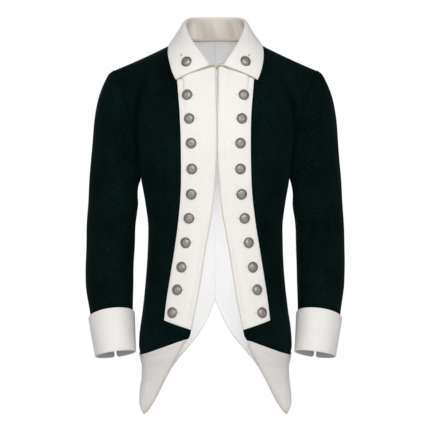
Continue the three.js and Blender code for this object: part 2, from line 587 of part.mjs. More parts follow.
// ---------------------------------------------------------------- buttons, hook and eye
function buttonGeometry() {
  const { radius, back, rim, dome, shoulder } = BUTTON;
  const profile = [
    [0, 0], [back, 0], [radius, rim], [radius * shoulder, rim + (dome - rim) * 0.62], [0, dome],
  ].map(([x, y]) => new THREE.Vector2(x, y));
  return new THREE.LatheGeometry(profile, 10).rotateX(Math.PI / 2);
}
// How far off the cloth a button's flat back is at the place where it is nearest.
function airUnder(cloth, place, normal, turned) {
  const reach = 10;
  const down = normal.clone().negate();
  const rounds = [
    { radius: 0, count: 1 }, { radius: BUTTON.back / 2, count: 12 }, { radius: BUTTON.back, count: 24 },
  ];
  const gaps = rounds.flatMap(({ radius, count }) => steps(count).slice(1).map((s) => {
    const round = 2 * Math.PI * s;
    const offset = new THREE.Vector3(radius * Math.cos(round), radius * Math.sin(round), 0);
    const start = offset.applyQuaternion(turned).add(place).addScaledVector(normal, reach);
    const hits = new THREE.Raycaster(start, down, 0, 2 * reach).intersectObject(cloth);
    return hits.length ? hits[0].distance - reach : reach;
  }));
  return Math.min(...gaps);
}
// Seats a button on its cloth, drawn down by its shank until only the seam's air is left.
function addButton(name, cloth, place, normal) {
  const mesh = add(name, buttonGeometry(), pewter());
  mesh.quaternion.setFromUnitVectors(new THREE.Vector3(0, 0, 1), normal);
  const air = airUnder(cloth, place, normal, mesh.quaternion);
  mesh.position.copy(place).addScaledVector(normal, SEAM - air);
}
function addLapelButtons({ word, side }) {
  const cloth = coat.getObjectByName(`lapel_${word}`);
  LAPEL_BUTTONS.forEach((row, i) => {
    const x = row.x + side * leanAt(row.z);
    const normal = frontNormal(x, row.z);
    const place = frontAt(x, row.z).addScaledVector(normal, SEAM + FACING);
    [place, normal].forEach((vector) => vector.setX(side * vector.x));
    addButton(`button_lapel_${word}_${String(i + 1).padStart(2, '0')}`, cloth, place, normal);
  });
}
// The collar button sits on the fall where the wanted place is nearest.
function addCollarButton({ word, side }, collarPoint) {
  let best = null;
  const us = steps(60).map((s) => (side < 0 ? s * 0.4 : 1 - s * 0.4));
  us.forEach((u) => steps(60).forEach((s) => {
    const v = lerp(0.5, 1, s);
    const place = collarPoint(u, v);
    const miss = Math.hypot(place.x - side * COLLAR_BUTTON.x - 1, place.z - COLLAR_BUTTON.z);
    if (!best || miss < best.miss) best = { u, v, place, miss };
  }));
  const d = 0.03;
  const along = collarPoint(best.u + d, best.v).sub(collarPoint(best.u - d, best.v));
  const acrossFall = collarPoint(best.u, best.v + 2 * d).sub(collarPoint(best.u, best.v - 2 * d));
  const normal = along.cross(acrossFall).normalize();
  if (normal.y > 0) normal.negate();
  addButton(`button_collar_${word}`, coat.getObjectByName('collar'), best.place, normal);
}

// A wire bent along a few points, with a six-sided section.
function wire(points, radius, count) {
  const section = new THREE.Shape(steps(6).slice(1).map((s) => (
    new THREE.Vector2(radius * Math.cos(2 * Math.PI * s), radius * Math.sin(2 * Math.PI * s)))));
  const path = new THREE.CatmullRomCurve3(points.map((p) => new THREE.Vector3(...p)), false, 'centripetal');
  return new THREE.ExtrudeGeometry(section, { steps: count, extrudePath: path, bevelEnabled: false });
}
function addHookAndEye() {
  const { z, reach } = HOOK;
  const behind = frontAt(6, z).y + WOOL + SEAM + HOOK.wire;
  const bar = behind - reach;
  const hook = [
    [-9, behind + 1.2, z], [1, behind, z], [3.6, behind - 0.1, z], [4.7, bar, z],
    [3.6, bar - reach, z], [0.5, bar - reach, z],
  ];
  const eye = [
    [12, behind + 3, z + 2.6], [8.4, behind + 1.2, z + 2.4], [4.2, bar, z + 2.1], [2.9, bar, z + 1],
    [2.9, bar, z - 1], [4.2, bar, z - 2.1], [8.4, behind + 1.2, z - 2.4], [12, behind + 3, z - 2.6],
  ];
  add('hook', wire(hook, HOOK.wire, 12), steelWire());
  add('eye', wire(eye, HOOK.wire, 16), steelWire());
}

// ---------------------------------------------------------------- the coat
SIDES.forEach(addPanels);
SIDES.forEach(addTurnbacks);
SIDES.forEach(addLapel);
SIDES.forEach(addSleeve);
const collarSurface = addCollar();
SIDES.forEach(addLapelButtons);
SIDES.forEach((half) => addCollarButton(half, collarSurface));
addHookAndEye();

export default coat;
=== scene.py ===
import math

import bpy
import numpy as np
from mathutils import Matrix, Vector
from mathutils.bvhtree import BVHTree


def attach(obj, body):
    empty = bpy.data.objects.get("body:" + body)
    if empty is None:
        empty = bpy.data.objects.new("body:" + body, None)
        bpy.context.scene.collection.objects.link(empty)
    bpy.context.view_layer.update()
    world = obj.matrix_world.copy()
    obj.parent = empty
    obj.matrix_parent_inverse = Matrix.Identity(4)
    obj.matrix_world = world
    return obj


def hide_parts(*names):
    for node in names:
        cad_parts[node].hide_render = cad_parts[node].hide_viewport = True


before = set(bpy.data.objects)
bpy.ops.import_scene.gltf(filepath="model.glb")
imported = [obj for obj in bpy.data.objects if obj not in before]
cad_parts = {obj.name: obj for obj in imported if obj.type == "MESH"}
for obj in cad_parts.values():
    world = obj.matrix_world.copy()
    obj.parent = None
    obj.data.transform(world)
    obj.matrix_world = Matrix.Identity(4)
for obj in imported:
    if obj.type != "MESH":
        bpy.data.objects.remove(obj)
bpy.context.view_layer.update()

bl_info = {
    "name": "Regimental tailcoat",
    "version": (1, 0, 0),
    "blender": (4, 5, 0),
    "location": "3D View > Sidebar > Tailcoat",
    "description": "Cuts, shapes and finishes a hollow wool tailcoat, a button for each group of pieces",
    "category": "Mesh",
}

MM = 0.001
SEAM = 0.3          # air between two pieces that meet or lie on each other
ROUND = 2.3         # cross-section of the body: 2 is an ellipse, more is squarer
SIDES = (("left", 1), ("right", -1))


def table(names, *rows):
    """A short table with named columns."""
    return [dict(zip(names.split(), row)) for row in rows]


# ---------------------------------------------------------------- the cut of the coat, in millimetres
UNDERARM_Z = -238
NECK_HOLLOW_Z = -70
SHOULDER = {"neck_x": 75, "neck_z": 11, "tip_x": 222, "tip_z": -58, "sag": 2.5}
NECK = {"front_z": -55, "front_y": -92, "back_z": 10, "back_y": 68, "mid_y": -12}
ARMHOLE = {"depth": 58, "hollow": 5}
FRONT_LEAN = 4
LEAN_SPAN = {"from": -150, "to": -450, "least": 0.1}
VENT_Z = -559
TIP_Z = -812

BODY = table(
    "z half front back",
    (-238, 171.5, 128, 118), (-300, 162.5, 124, 112), (-350, 153.5, 118, 105),
    (-405, 147.5, 113, 101), (-460, 149.0, 113, 103), (-520, 153.0, 116, 109),
    (-580, 159.0, 121, 114), (-640, 167.0, 125, 102), (-662, 168.0, 115.8, 93.2), (-686, 163.5, 103, 82),
    (-710, 159.0, 88, 69.8), (-735, 159.8, 71, 56), (-758, 163.2, 54.4, 44), (-785, 164.6, 34, 30),
    (-800, 162, 24, 21.8), (-812, 157.5, 16, 15),
)
FRONT_EDGE = table(
    "z gap lapel",
    (-54, 4.0, 87.5), (-84, 3.7, 87.0), (-123, 3.2, 82.6), (-150, 2.2, 79.6),
    (-176, 1.6, 77.0), (-220, 1.6, 75.2), (-242, 2.0, 75.1), (-268, 3.4, 75.2),
    (-295, 4.7, 75.6), (-321, 6.6, 76.5), (-348, 8.8, 78.3), (-374, 12.0, 81.2),
    (-400, 16.6, 84.2), (-460, 27.4, 93.0), (-515, 35.5, 102.0), (-563, 43.9, 109.5),
    (-629, 57.4, 117.0), (-637, 58.9, 118.0), (-645, 62.4, 119.0), (-653, 67.6, 120.0),
)
LAPEL = {"top_level": 0.985, "bottom_inner": -625.5, "bottom_outer": -605.5}
FRONT_FOLD = table("x z", (67.6, -653), (108.5, -730), (149.4, -805), (157.5, TIP_Z))
FRONT_CORNER = table("x z", (58, -644), (73, -650), (106, -662.4), (148, -679.2), (163.5, -686.5))
BACK_FOLD = table(
    "x z", (0, VENT_Z), (22.7, -612), (41, -642), (60, -666), (84, -694), (125, -752), (157.5, TIP_Z),
)
BACK_CORNER = table("x z", (0, -546), (60, -580), (120, -628), (163.5, -686.5))

# Sleeve rings: outer and inner side as seen from the front, and where the ring sits front to back.
RING = "at out_x out_z in_x in_z mid_y deep tilt hollow"
SLEEVE = table(
    RING,
    (0, 222.6, -57.5, 173.4, -238, 0, 58.4, 0, 4.6), (1, 233, -64, 175.0, -244, 0, 62, 0, 2),
    (2, 246, -86, 174.0, -252, 1, 65, 0, 1), (3, 258, -120, 172.3, -263, 2, 67, 0, 0),
    (4, 266, -168, 169.6, -280, 4, 68, 0, 0), (5, 272, -232, 166.6, -305, 7, 67, -2, 0),
    (6, 278, -305, 168.0, -345, 9, 66, -1, 0), (7, 283, -380, 172.5, -385, 9, 65, 3, 0),
    (8, 285.5, -455, 176.5, -445, 2, 62, 8, 0), (9, 284.5, -525, 179.0, -515, -9, 59, 9, 0),
    (10, 275, -592, 181.0, -582, -20, 56, 9, 0), (11, 263.8, -665, 178.4, -655, -33.5, 51.4, 9, 0),
)
# The sleeve's seam allowance: down through the armhole and then in under the body's edge.
SLEEVE_HEAD = table(
    RING,
    (-2.4, 213, -58.4, 167.6, -241.5, 0, 54.6, 0, 5.2), (-1.6, 219.5, -60.6, 169.0, -235.4, 0, 54.9, 0, 5),
    (-1, 223, -61.2, 172.0, -235.0, 0, 55.2, 0, 4.8),
)
FORE_SEAM = 138     # degrees round the sleeve from its outer side, by way of the front
HIND_SEAM = 246
CUFF = table(
    RING,
    (0, 279, -603, 177.0, -590, -22, 61, 15.5, 0), (0.5, 272.5, -642, 175.6, -633, -30, 57, 10, 0),
    (1, 264, -687, 173.5, -675, -38, 52.5, 9, 0),
)
CUFF_LENGTH = 92
FOLD_THICK = 0.9     # a turned corner's cloth is pressed thin where it goes round the fold
FOLD_PRESS = 14      # and is full again this far from it
LAPEL_ROLL = {
    "from": -300, "to": -370, "ridge": 1.3, "ridge_at": 4, "ridge_wide": 3.2, "dip": 1.0, "dip_at": 13,
    "dip_wide": 5,
}
LAPEL_EDGE_SHADE = {"from": -250, "to": -400, "upper": 0.22, "lower": 0.62, "wide": 1.2}    # painted shade along its front edge
CUFF_SLIT = {"height": 26, "half": 3.4, "corner": 6}
SEAM_TURN = 0.16     # degrees from a sleeve's seam to the edge of its cloth
SLEEVE_EASE = 0.8    # rings from the top over which a sleeve's unevenness begins
FOLD_SHADE = {"front": 0.75, "back": 0.25, "deep": 4, "reach": 7}    # how strongly folds are shaded
# Where the lining stops short of the fold and of the side seam, and how slack it lies above its hem.
LINING_HEM = {"short": 0.3, "columns": 6, "felled": 0.03, "slack": 0.4}

# The collar from its front end to the middle of the back: collar_station reads the columns. seam is the
# place along the neckline, less than 0 on the back, and an edge without a depth lies over the front.
COLLAR = table(
    "seam fold_x fold_y fold_z edge_x edge_y edge_z bulge lean",
    (7, 14.6, -99.5, -50, 87.3, None, -83, 0.04, 3), (20, 25, -97, -35, 94.5, None, -66, 0.05, 2.5),
    (36, 37, -88, -18, 99.5, None, -46, 0.05, 2), (52, 49, -74, 0, 102, None, -28, 0.04, 1),
    (66, 59, -52, 19, 101, None, -14, 0.03, 0.5), (74.5, 66, -24, 40, 97.5, -8, 4.5, 0, 0),
    (-73, 64, 8, 52, 94, 20, 5, 0, 0), (-60, 54, 38, 58, 82, 54, 2.5, 0, 0),
    (-34, 31, 60, 60, 49, 80, 0, 0.02, 0), (-0.01, 0, 67, 60, 0, 88, -2, 0.02, 0),
)
COLLAR_FOLD_RADIUS = 2.7
COLLAR_SEAM = {"inset": 1.4, "rise": 2.8, "press": 1.2}
COLLAR_STAND_MIDDLE = 0.55
COLLAR_FALL = ((0.25, 0.7), (0.5, 1.0), (0.76, 0.7))    # share of the way down, and of the full bulge
COLLAR_BULGE_UP = 0.55
COLLAR_OVER_LAPEL = 1.2
COLLAR_OVER_SHOULDER = 4    # a place this far below the shoulder seam lies on the front
COLLAR_STANDS_OFF = 2.0     # how far the fall's edge springs off the lapel
COLLAR_CREASES = (   # soft upright creases of the stand: place along the collar, half width and height
    (0.27, 0.012, 0.9), (0.345, 0.016, -0.8), (0.41, 0.011, 0.9), (0.455, 0.013, -0.7), (0.505, 0.012, 1.0),
    (0.56, 0.014, -0.8), (0.615, 0.011, 0.8), (0.68, 0.015, -0.8), (0.74, 0.012, 0.9),
)
CREASE_SLANT = 0.12
CREASE_HEIGHT = 1.5
STAND_REACH = 0.09    # half height of the creased band, as a share of the way over the collar
COLLAR_HEM = {"inset": 3.8, "front": 9, "back": 4.5}    # the stand's lower edge, felled inside the neckline
COLLAR_END = {"seam": 2.8, "rise": 4.2, "wide": 1.3}
COLLAR_ROW = {"hem": 0.02, "stand": 0.2, "groove": 0.345, "crest": 0.35}    # shares of the way over it

BUTTON = {"radius": 12.2, "back": 11, "dome": 5.2}
BUTTON_SIDE = ((12.0, 0.6), (BUTTON["radius"], 0.4), (12.1, 0.35))    # radius and step up
BUTTON_FACE = (                                                       # radius and height, rim to middle
    (11.6, 1.5), (11.1, 1.4), (10.8, 0.9), (10.4, 0.95), (10.1, 1.7), (9.5, 2.6), (8.7, 3.3), (8.4, 3.0),
    (8.1, 3.1), (7.8, 3.7), (6.8, 4.15), (5.7, 4.5), (5.4, 4.2), (5.1, 4.3), (4.8, 4.7), (3.6, 4.95),
    (2.4, 5.05), (2.1, 4.75), (1.8, 4.8), (1.5, 5.1), (0.8, BUTTON["dome"]),
)
LAPEL_BUTTONS = table(
    "x z",
    (61, -114.6), (56.8, -166.1), (53.2, -219.6), (52.5, -275.5), (54.3, -330.5),
    (59.9, -382.9), (67.9, -436.4), (76.8, -489.9), (86.3, -539.4), (96.7, -589.3),
)
BUTTONHOLE = {"ends": ((-16.6, 0.4), (3, 0)), "width": 1.5}    # from the button's middle
TACK = {"ends": ((76.0, -23.5), (72.2, -29.5)), "width": 1.7}
BAR_STEPS = 19
BAR_PROFILE = ((0, 0.08), (0.06, 0.26), (0.2, 0.42), (0.36, 0.34), (0.5, 0.02))    # share of width, height
BAR_LIFT = 0.35
BAR_THICK = 0.3

# Large folds that the solids have too: soft troughs in the front view, from one end to the other.
FOLD = "from_x from_z to_x to_z wide deep"
FRONT_FOLDS = table(
    FOLD, (140, -78, 172, -160, 15, 4.5), (160, -262, 96, -330, 17, 3.5), (150, -395, 98, -425, 15, 3),
)
BACK_FOLDS = table(
    FOLD, (138, -80, 170, -165, 16, 4.5), (158, -268, 80, -345, 18, 4), (140, -400, 30, -430, 16, 3.5),
)
BEND = "at angle span wide deep"
SLEEVE_FOLDS = table(BEND, (5.4, 150, 80, 0.55, 4), (7.0, 100, 90, 0.5, 4.5), (8.1, 70, 85, 0.5, 3.5))
FOLD_ENDS = 0.15    # how far along its rounded length a trough begins and ends
FOLD_SLANT = 0.35   # how far a sleeve's trough climbs over its span


# ---------------------------------------------------------------- curves and sections
def lerp(a, b, share):
    return a + (b - a) * share


def rise(value, start, end):
    """0 before start, 1 past end, and even between."""
    return np.clip((value - start) / (end - start), 0, 1)


def smooth(share):
    return share * share * (3 - 2 * share)


def hump(distance, width):
    """1 where the distance is 0, falling off softly on both sides."""
    return np.exp(-((distance / width) ** 2))


def unit(vector):
    return vector / np.linalg.norm(vector, axis=-1, keepdims=True)


def hermite(a, slope_a, b, slope_b, s):
    return (
        a * (2 * s**3 - 3 * s**2 + 1) + slope_a * (s**3 - 2 * s**2 + s)
        + b * (3 * s**2 - 2 * s**3) + slope_b * (s**3 - s**2)
    )


def column(rows, along, name):
    """Reads one column of a table as a smooth curve that never overshoots its rows."""
    order = sorted(rows, key=lambda row: row[along])
    xs = np.array([row[along] for row in order], float)
    ys = np.array([row[name] for row in order], float)
    slope = np.diff(ys) / np.diff(xs)
    tangent = np.empty_like(xs)
    tangent[0], tangent[-1] = slope[0], slope[-1]
    product = slope[:-1] * slope[1:]
    total = np.where(product > 0, slope[:-1] + slope[1:], 1)
    tangent[1:-1] = np.where(product > 0, 2 * product / total, 0)

    def read(value):
        x = np.clip(value, xs[0], xs[-1])
        i = np.clip(np.searchsorted(xs, x, side="right") - 1, 0, len(xs) - 2)
        width = xs[i + 1] - xs[i]
        return hermite(ys[i], tangent[i] * width, ys[i + 1], tangent[i + 1] * width, (x - xs[i]) / width)

    return read


def across(angle):
    """Sideways share of the body's rounded section: 90 is the middle of the front, 0 is the side."""
    cosine = np.cos(np.radians(angle))
    return np.sign(cosine) * np.abs(cosine) ** (2 / ROUND)


def outwards(angle):
    """The same section's share forwards or backwards."""
    return np.abs(np.sin(np.radians(angle))) ** (2 / ROUND)


def angle_at(ratio):
    """The angle at which the section has a given sideways share."""
    return np.degrees(np.arccos(np.sign(ratio) * np.minimum(1, np.abs(ratio)) ** (ROUND / 2)))


def troughs(folds, x, z):
    """How deep a point lies in a set of troughs."""
    total = 0
    for fold in folds:
        dx, dz = fold["to_x"] - fold["from_x"], fold["to_z"] - fold["from_z"]
        along = ((x - fold["from_x"]) * dx + (z - fold["from_z"]) * dz) / (dx * dx + dz * dz)
        along = np.clip(along, 0, 1)
        away = np.hypot(x - fold["from_x"] - along * dx, z - fold["from_z"] - along * dz)
        rounded = np.sin(np.pi * (FOLD_ENDS + (1 - 2 * FOLD_ENDS) * along))
        total = total + fold["deep"] * hump(away, fold["wide"]) * rounded
    return total


body_half = column(BODY, "z", "half")
body_deep = {"front": column(BODY, "z", "front"), "back": column(BODY, "z", "back")}
edge_gap = column(FRONT_EDGE, "z", "gap")
lapel_edge = column(FRONT_EDGE, "z", "lapel")
fold_line = {"front": column(FRONT_FOLD, "z", "x"), "back": column(BACK_FOLD, "z", "x")}
corner_line = {"front": column(FRONT_CORNER, "x", "z"), "back": column(BACK_CORNER, "x", "z")}
FACES = {
    "front": {"sign": -1, "neck_y": NECK["front_y"], "neck_z": NECK["front_z"], "folds": FRONT_FOLDS,
              "fold_top": FRONT_FOLD[0]["z"], "bend": 1.75},
    "back": {"sign": 1, "neck_y": NECK["back_y"], "neck_z": NECK["back_z"], "folds": BACK_FOLDS,
             "fold_top": VENT_Z, "bend": 3},
}


def top_z(face, x):
    """Top edge of a front or back: the neckline, then the shoulder seam."""
    out = np.abs(x)
    way = (out - SHOULDER["neck_x"]) / (SHOULDER["tip_x"] - SHOULDER["neck_x"])
    shoulder = lerp(SHOULDER["neck_z"], SHOULDER["tip_z"], way)
    shoulder = shoulder - SHOULDER["sag"] * np.sin(np.pi * np.clip(way, 0, 1))
    bend = np.minimum(1, out / SHOULDER["neck_x"]) ** FACES[face]["bend"]
    return np.where(way >= 0, shoulder, lerp(FACES[face]["neck_z"], SHOULDER["neck_z"], bend))


def top_y(face, x):
    """Front to back place of the same top edge."""
    ring = np.sqrt(np.maximum(0, 1 - (x / SHOULDER["neck_x"]) ** 2))
    return FACES[face]["neck_y"] * ring + FACES[face]["sign"] * SEAM / 2


def yoke(face, level):
    """Edge angle and half width that bring the cross-section through the armhole's edge."""
    up = 2 * level - 1
    bulge = np.sqrt(np.maximum(0, 1 - up * up))
    under = body_half(UNDERARM_Z)
    edge_x = (SHOULDER["tip_x"] + under) / 2 + (SHOULDER["tip_x"] - under) / 2 * up
    edge_x = edge_x - ARMHOLE["hollow"] * bulge * bulge
    ratio = 2 * ARMHOLE["depth"] * np.sqrt(level / (1 + level)) / body_deep[face](UNDERARM_Z)
    angle = np.degrees(np.arcsin(np.minimum(1, ratio) ** (ROUND / 2)))
    return angle, edge_x / across(angle)


def lean_at(z):
    """How far the lapels' outer edges lean to the wearer's left at a height."""
    return FRONT_LEAN * np.maximum(rise(z, LEAN_SPAN["from"], LEAN_SPAN["to"]), LEAN_SPAN["least"])


SIDE_DENT = 0.3     # share of a trough's depth that also pulls the side seam in
STRIP_LAPEL = 0.44  # column of a front at the lapel's buttoned edge
BACK_FOOT = 0.12    # share of the way up from the turned corner at which a back's foot band ends


def inner_angle(side, face, half, z):
    """Angle of a piece's inner edge: the front edge, or the centre back seam."""
    if face == "back":
        return angle_at(SEAM / 2 / half)
    return angle_at((edge_gap(z) + side * FRONT_LEAN) / half)


def angle_between(side, face, t, half, z, inner, outer):
    """Angle of column t, 0 to 1, of a piece that reaches from inner to outer."""
    if face == "back":
        return lerp(inner, outer, t)
    lapel = angle_at((lapel_edge(z) + side * lean_at(z)) / half)
    near = lerp(inner, lapel, t / STRIP_LAPEL)
    far = lerp(lapel, outer, (t - STRIP_LAPEL) / (1 - STRIP_LAPEL))
    return np.where(t < STRIP_LAPEL, near, far)


def angle_of(side, face, t, z):
    half = body_half(z)
    return angle_between(side, face, t, half, z, inner_angle(side, face, half, z), 0)


def lower_point(side, face, angle, z):
    """Body below the armholes. angle 90 is the middle, 0 the side seam."""
    sign = FACES[face]["sign"]
    out = outwards(angle)
    x = body_half(z) * across(angle)
    dent = troughs(FACES[face]["folds"], x, z) * out
    y = sign * (body_deep[face](z) * out - dent + SEAM / 2 * (1 - out))
    return np.stack([side * (x - dent * SIDE_DENT * (1 - out)), y, z + 0 * x], -1)


def roll(level, x):
    """How full the body is at a level, 0 at the underarm to 1 at the top: rounder away from the neck."""
    near = rise(np.abs(x), 0, SHOULDER["neck_x"])
    return np.maximum(0, 1 - level * level) ** (1 - 0.5 * smooth(near))


def upper_point(side, face, t, level):
    """Body above the underarm. t runs from the inner edge to the armhole."""
    sign = FACES[face]["sign"]
    neck_z = FACES[face]["neck_z"]
    here_angle, here_half = yoke(face, level)
    top_angle, top_half = yoke(face, 1.0)
    inner_z = lerp(UNDERARM_Z, neck_z, level)
    inner = inner_angle(side, face, here_half, inner_z)
    angle = angle_between(side, face, t, here_half, inner_z, inner, here_angle)
    top_inner = inner_angle(side, face, top_half, neck_z)
    top_x = top_half * across(angle_between(side, face, t, top_half, neck_z, top_inner, top_angle))
    x = here_half * across(angle)
    z = lerp(UNDERARM_Z, top_z(face, top_x), level)
    full = sign * body_deep[face](UNDERARM_Z) * outwards(angle)
    share = roll(level, top_x)
    dent = troughs(FACES[face]["folds"], x, z) * share * outwards(angle)
    return np.stack([side * x, lerp(top_y(face, top_x), full, share) - sign * dent, z], -1)


def fold_z(side, face, t):
    """Height at which the skirt's fold line crosses a column of the piece."""
    low = np.full_like(t, TIP_Z, dtype=float)
    high = np.full_like(t, FACES[face]["fold_top"], dtype=float)
    for _ in range(40):
        z = (low + high) / 2
        above = body_half(z) * across(angle_of(side, face, t, z)) > fold_line[face](z)
        high = np.where(above, z, high)
        low = np.where(above, low, z)
    return (low + high) / 2


# Rows of a panel: v at the fold line, the turned corner's edge, the lapel's foot and the underarm.
BAND = {"corner": 0.14, "foot": 0.2, "underarm": 0.68}


def panel_point(side, face, t, v):
    """A whole front or back: t across, v from the skirt's fold line up to the neck and shoulder."""
    level = (1 - np.cos(np.pi * rise(v, BAND["underarm"], 1))) / 2
    upper = upper_point(side, face, t, level)
    fold = fold_z(side, face, t)
    corner = corner_line[face](body_half(fold) * across(angle_of(side, face, t, fold)))
    if face == "back":
        foot = lerp(corner, UNDERARM_Z, BACK_FOOT)
    else:
        foot = lerp(LAPEL["bottom_inner"], LAPEL["bottom_outer"], np.minimum(1, t / STRIP_LAPEL))
    z = lerp(foot, UNDERARM_Z, np.minimum(1, (v - BAND["foot"]) / (BAND["underarm"] - BAND["foot"])))
    low = lerp(corner, foot, (v - BAND["corner"]) / (BAND["foot"] - BAND["corner"]))
    z = np.where(v < BAND["foot"], low, z)
    z = np.where(v < BAND["corner"], lerp(fold, corner, v / BAND["corner"]), z)
    lower = lower_point(side, face, angle_of(side, face, t, z), z)
    return np.where((v > BAND["underarm"])[..., None], upper, lower)


def front_at(x, z):
    """The front's surface at a place given as seen from the front, x measured outwards."""
    x, z = np.asarray(x, float), np.asarray(z, float)
    low, high = np.full(x.shape, -0.2), np.full(x.shape, 1.2)
    top_angle, top_half = yoke("front", 1.0)
    top_inner = inner_angle(1, "front", top_half, NECK["front_z"])
    for _ in range(30):
        t = (low + high) / 2
        angle = angle_between(1, "front", t, top_half, NECK["front_z"], top_inner, top_angle)
        top = top_z("front", top_half * across(angle))
        level = rise(z, UNDERARM_Z, top)
        over = upper_point(1, "front", t, level)[..., 0] > x
        high, low = np.where(over, t, high), np.where(over, low, t)
    upper = upper_point(1, "front", (low + high) / 2, level)
    lower = lower_point(1, "front", angle_at(x / body_half(z)), z)
    return np.where((z > UNDERARM_Z)[..., None], upper, lower)


def front_normal(x, z):
    step = 1.5
    sideways = front_at(x + step, z) - front_at(x - step, z)
    upwards = front_at(x, z + step) - front_at(x, z - step)
    return unit(np.cross(sideways, upwards))


# ---------------------------------------------------------------- sleeves, cuffs and collar
def ring_reader(rows):
    return {name: column(rows, "at", name) for name in RING.split()[1:]}


CUFF_RINGS = ring_reader(CUFF)


def sleeve_dent(at, turn, folds):
    """How deep a place on a sleeve lies in a set of troughs that run round the arm."""
    total = 0
    for fold in folds:
        way = (turn - fold["angle"]) / fold["span"]
        along = (at - fold["at"] - FOLD_SLANT * way) / fold["wide"]
        total = total + fold["deep"] * np.exp(-way * way - along * along)
    return total


def ring_point(side, rings, at, turn, dent=0):
    """Point on a ring. turn is in degrees: 0 the outer side, 90 the front, 180 the inner side."""
    cosine, sine = np.cos(np.radians(turn)), np.sin(np.radians(turn))
    deep = rings["deep"](at) - dent
    share = (1 + cosine) / 2
    x = lerp(rings["in_x"](at), rings["out_x"](at), share) - rings["hollow"](at) * sine * sine
    z = lerp(rings["in_z"](at), rings["out_z"](at), share)
    z = z + np.tan(np.radians(rings["tilt"](at))) * deep * sine
    return np.stack([side * (x - dent * cosine), rings["mid_y"](at) - deep * sine, z], -1)


def tube_hollow(side, rings, at):
    """The middle of a sleeve or cuff, at one of its rings, for finding which way is out."""
    middle = lerp(rings["in_x"](at), rings["out_x"](at), 0.5)
    return lambda place: np.array([side * middle, rings["mid_y"](at), place[2]])


def collar_station(row, side):
    """Section of the collar: seam on the neckline, stand, fold at the top, fall, outer edge."""
    lean = side * row["lean"]
    fold = np.array([row["fold_x"] + lean, row["fold_y"], row["fold_z"]], float)
    at_end = 0 < row["seam"] < 10
    seam = COLLAR_END["seam"] if at_end else row["seam"] + lean
    face, x = ("front" if seam > 0 else "back"), abs(seam)
    seam = np.array([x, float(top_y(face, x)), float(top_z(face, x)) + at_end * COLLAR_END["rise"]])
    outward = unit(np.array([fold[0], fold[1] - NECK["mid_y"], 0]))
    seam = seam - COLLAR_SEAM["inset"] * outward + np.array([0, 0, COLLAR_SEAM["rise"]])
    lift = 2 * SEAM + CLOTH["facing"] + CLOTH["collar"] / 2
    if row["edge_y"] is None:
        x, z = row["edge_x"] + lean, row["edge_z"]
        edge = front_at(x, z) + (lift + COLLAR_STANDS_OFF) * front_normal(x, z)
    else:
        edge = np.array([row["edge_x"], row["edge_y"], row["edge_z"]], float)
    r = COLLAR_FOLD_RADIUS
    stand_top = fold - r * outward + r * unit(seam - fold)
    fall_top = fold + r * outward + r * unit(edge - fold)
    width = np.linalg.norm(fall_top - edge)
    over = unit(outward + np.array([0, 0, COLLAR_BULGE_UP]))

    def fall(share, amount):
        place = lerp(fall_top, edge, share) + over * amount * width
        if row["edge_y"] is not None or place[2] > top_z("front", place[0]) - COLLAR_OVER_SHOULDER:
            return place
        floor = front_at(place[0], place[2])[1] - lift - COLLAR_OVER_LAPEL
        return np.array([place[0], min(place[1], floor), place[2]])

    hem = seam - COLLAR_HEM["inset"] * outward - np.array([0, 0, COLLAR_HEM[face]])
    return np.array([
        hem, seam - COLLAR_SEAM["press"] * outward, lerp(seam, stand_top, COLLAR_STAND_MIDDLE), stand_top,
        fold, fall_top, *[fall(share, full * row["bulge"]) for share, full in COLLAR_FALL], edge,
    ])


def spline(points, where):
    """Points at the places `where`, 0 to 1, on a smooth curve through the given points."""
    points = np.asarray(points, float)
    ends = np.concatenate([[2 * points[0] - points[1]], points, [2 * points[-1] - points[-2]]])
    place = np.asarray(where, float) * (len(points) - 1)
    i = np.minimum(place.astype(int), len(points) - 2)
    s = (place - i).reshape((-1,) + (1,) * (points.ndim - 1))
    p = [ends[i + k] for k in range(4)]
    lengths = [np.linalg.norm(p[k + 1] - p[k], axis=-1, keepdims=True) for k in range(3)]
    step = [np.maximum(length, 1e-6) ** 0.5 for length in lengths]

    def slope(k):
        before, after = (p[k] - p[k - 1]) / step[k - 1], (p[k + 1] - p[k]) / step[k]
        return (before - (p[k + 1] - p[k - 1]) / (step[k - 1] + step[k]) + after) * step[1]

    return hermite(p[1], slope(1), p[2], slope(2), s)


def collar_surface(us, vs):
    """The collar's middle surface, from its right front end round the neck to its left one."""
    flip = np.array([-1, 1, 1])
    right = [collar_station(row, -1) * flip for row in COLLAR]
    left = [collar_station(row, 1) for row in COLLAR]
    stations = np.array(right + left[::-1][1:])
    along = spline(stations, us)
    return spline(along.transpose(1, 0, 2), vs).transpose(1, 0, 2)


# ---------------------------------------------------------------- sheets of cloth as meshes
CLOTH = {"wool": 2.0, "facing": 2.4, "collar": 2.6, "lining": 1.0}
RIM = {"wool": 0.12, "lining": 0.2, "facing": 0.32}    # how far a rounded edge stands out, by its thickness
ROUND_OFF = {"share": 0.2, "reach": 1.1}               # how a cloth thins towards its edge
STEPS = {    # how finely each sheet is divided, one way and the other
    "lapel": 26, "front": 38, "back": 62, "corner": 38, "fold": 10, "foot": 8, "side": 112, "chest": 64,
    "top": 6, "sleeve_upper": 100, "sleeve_under": 46, "sleeve_head": 14, "sleeve": 200, "cuff_round": 140,
    "cuff": 26, "slit_end": 3, "slit": 16, "collar_round": 230, "collar_over": 64,
}
EDGE_ROW = 0.3    # where the row close to each end lies, as a share of the first stretch
TINY = 1e-9


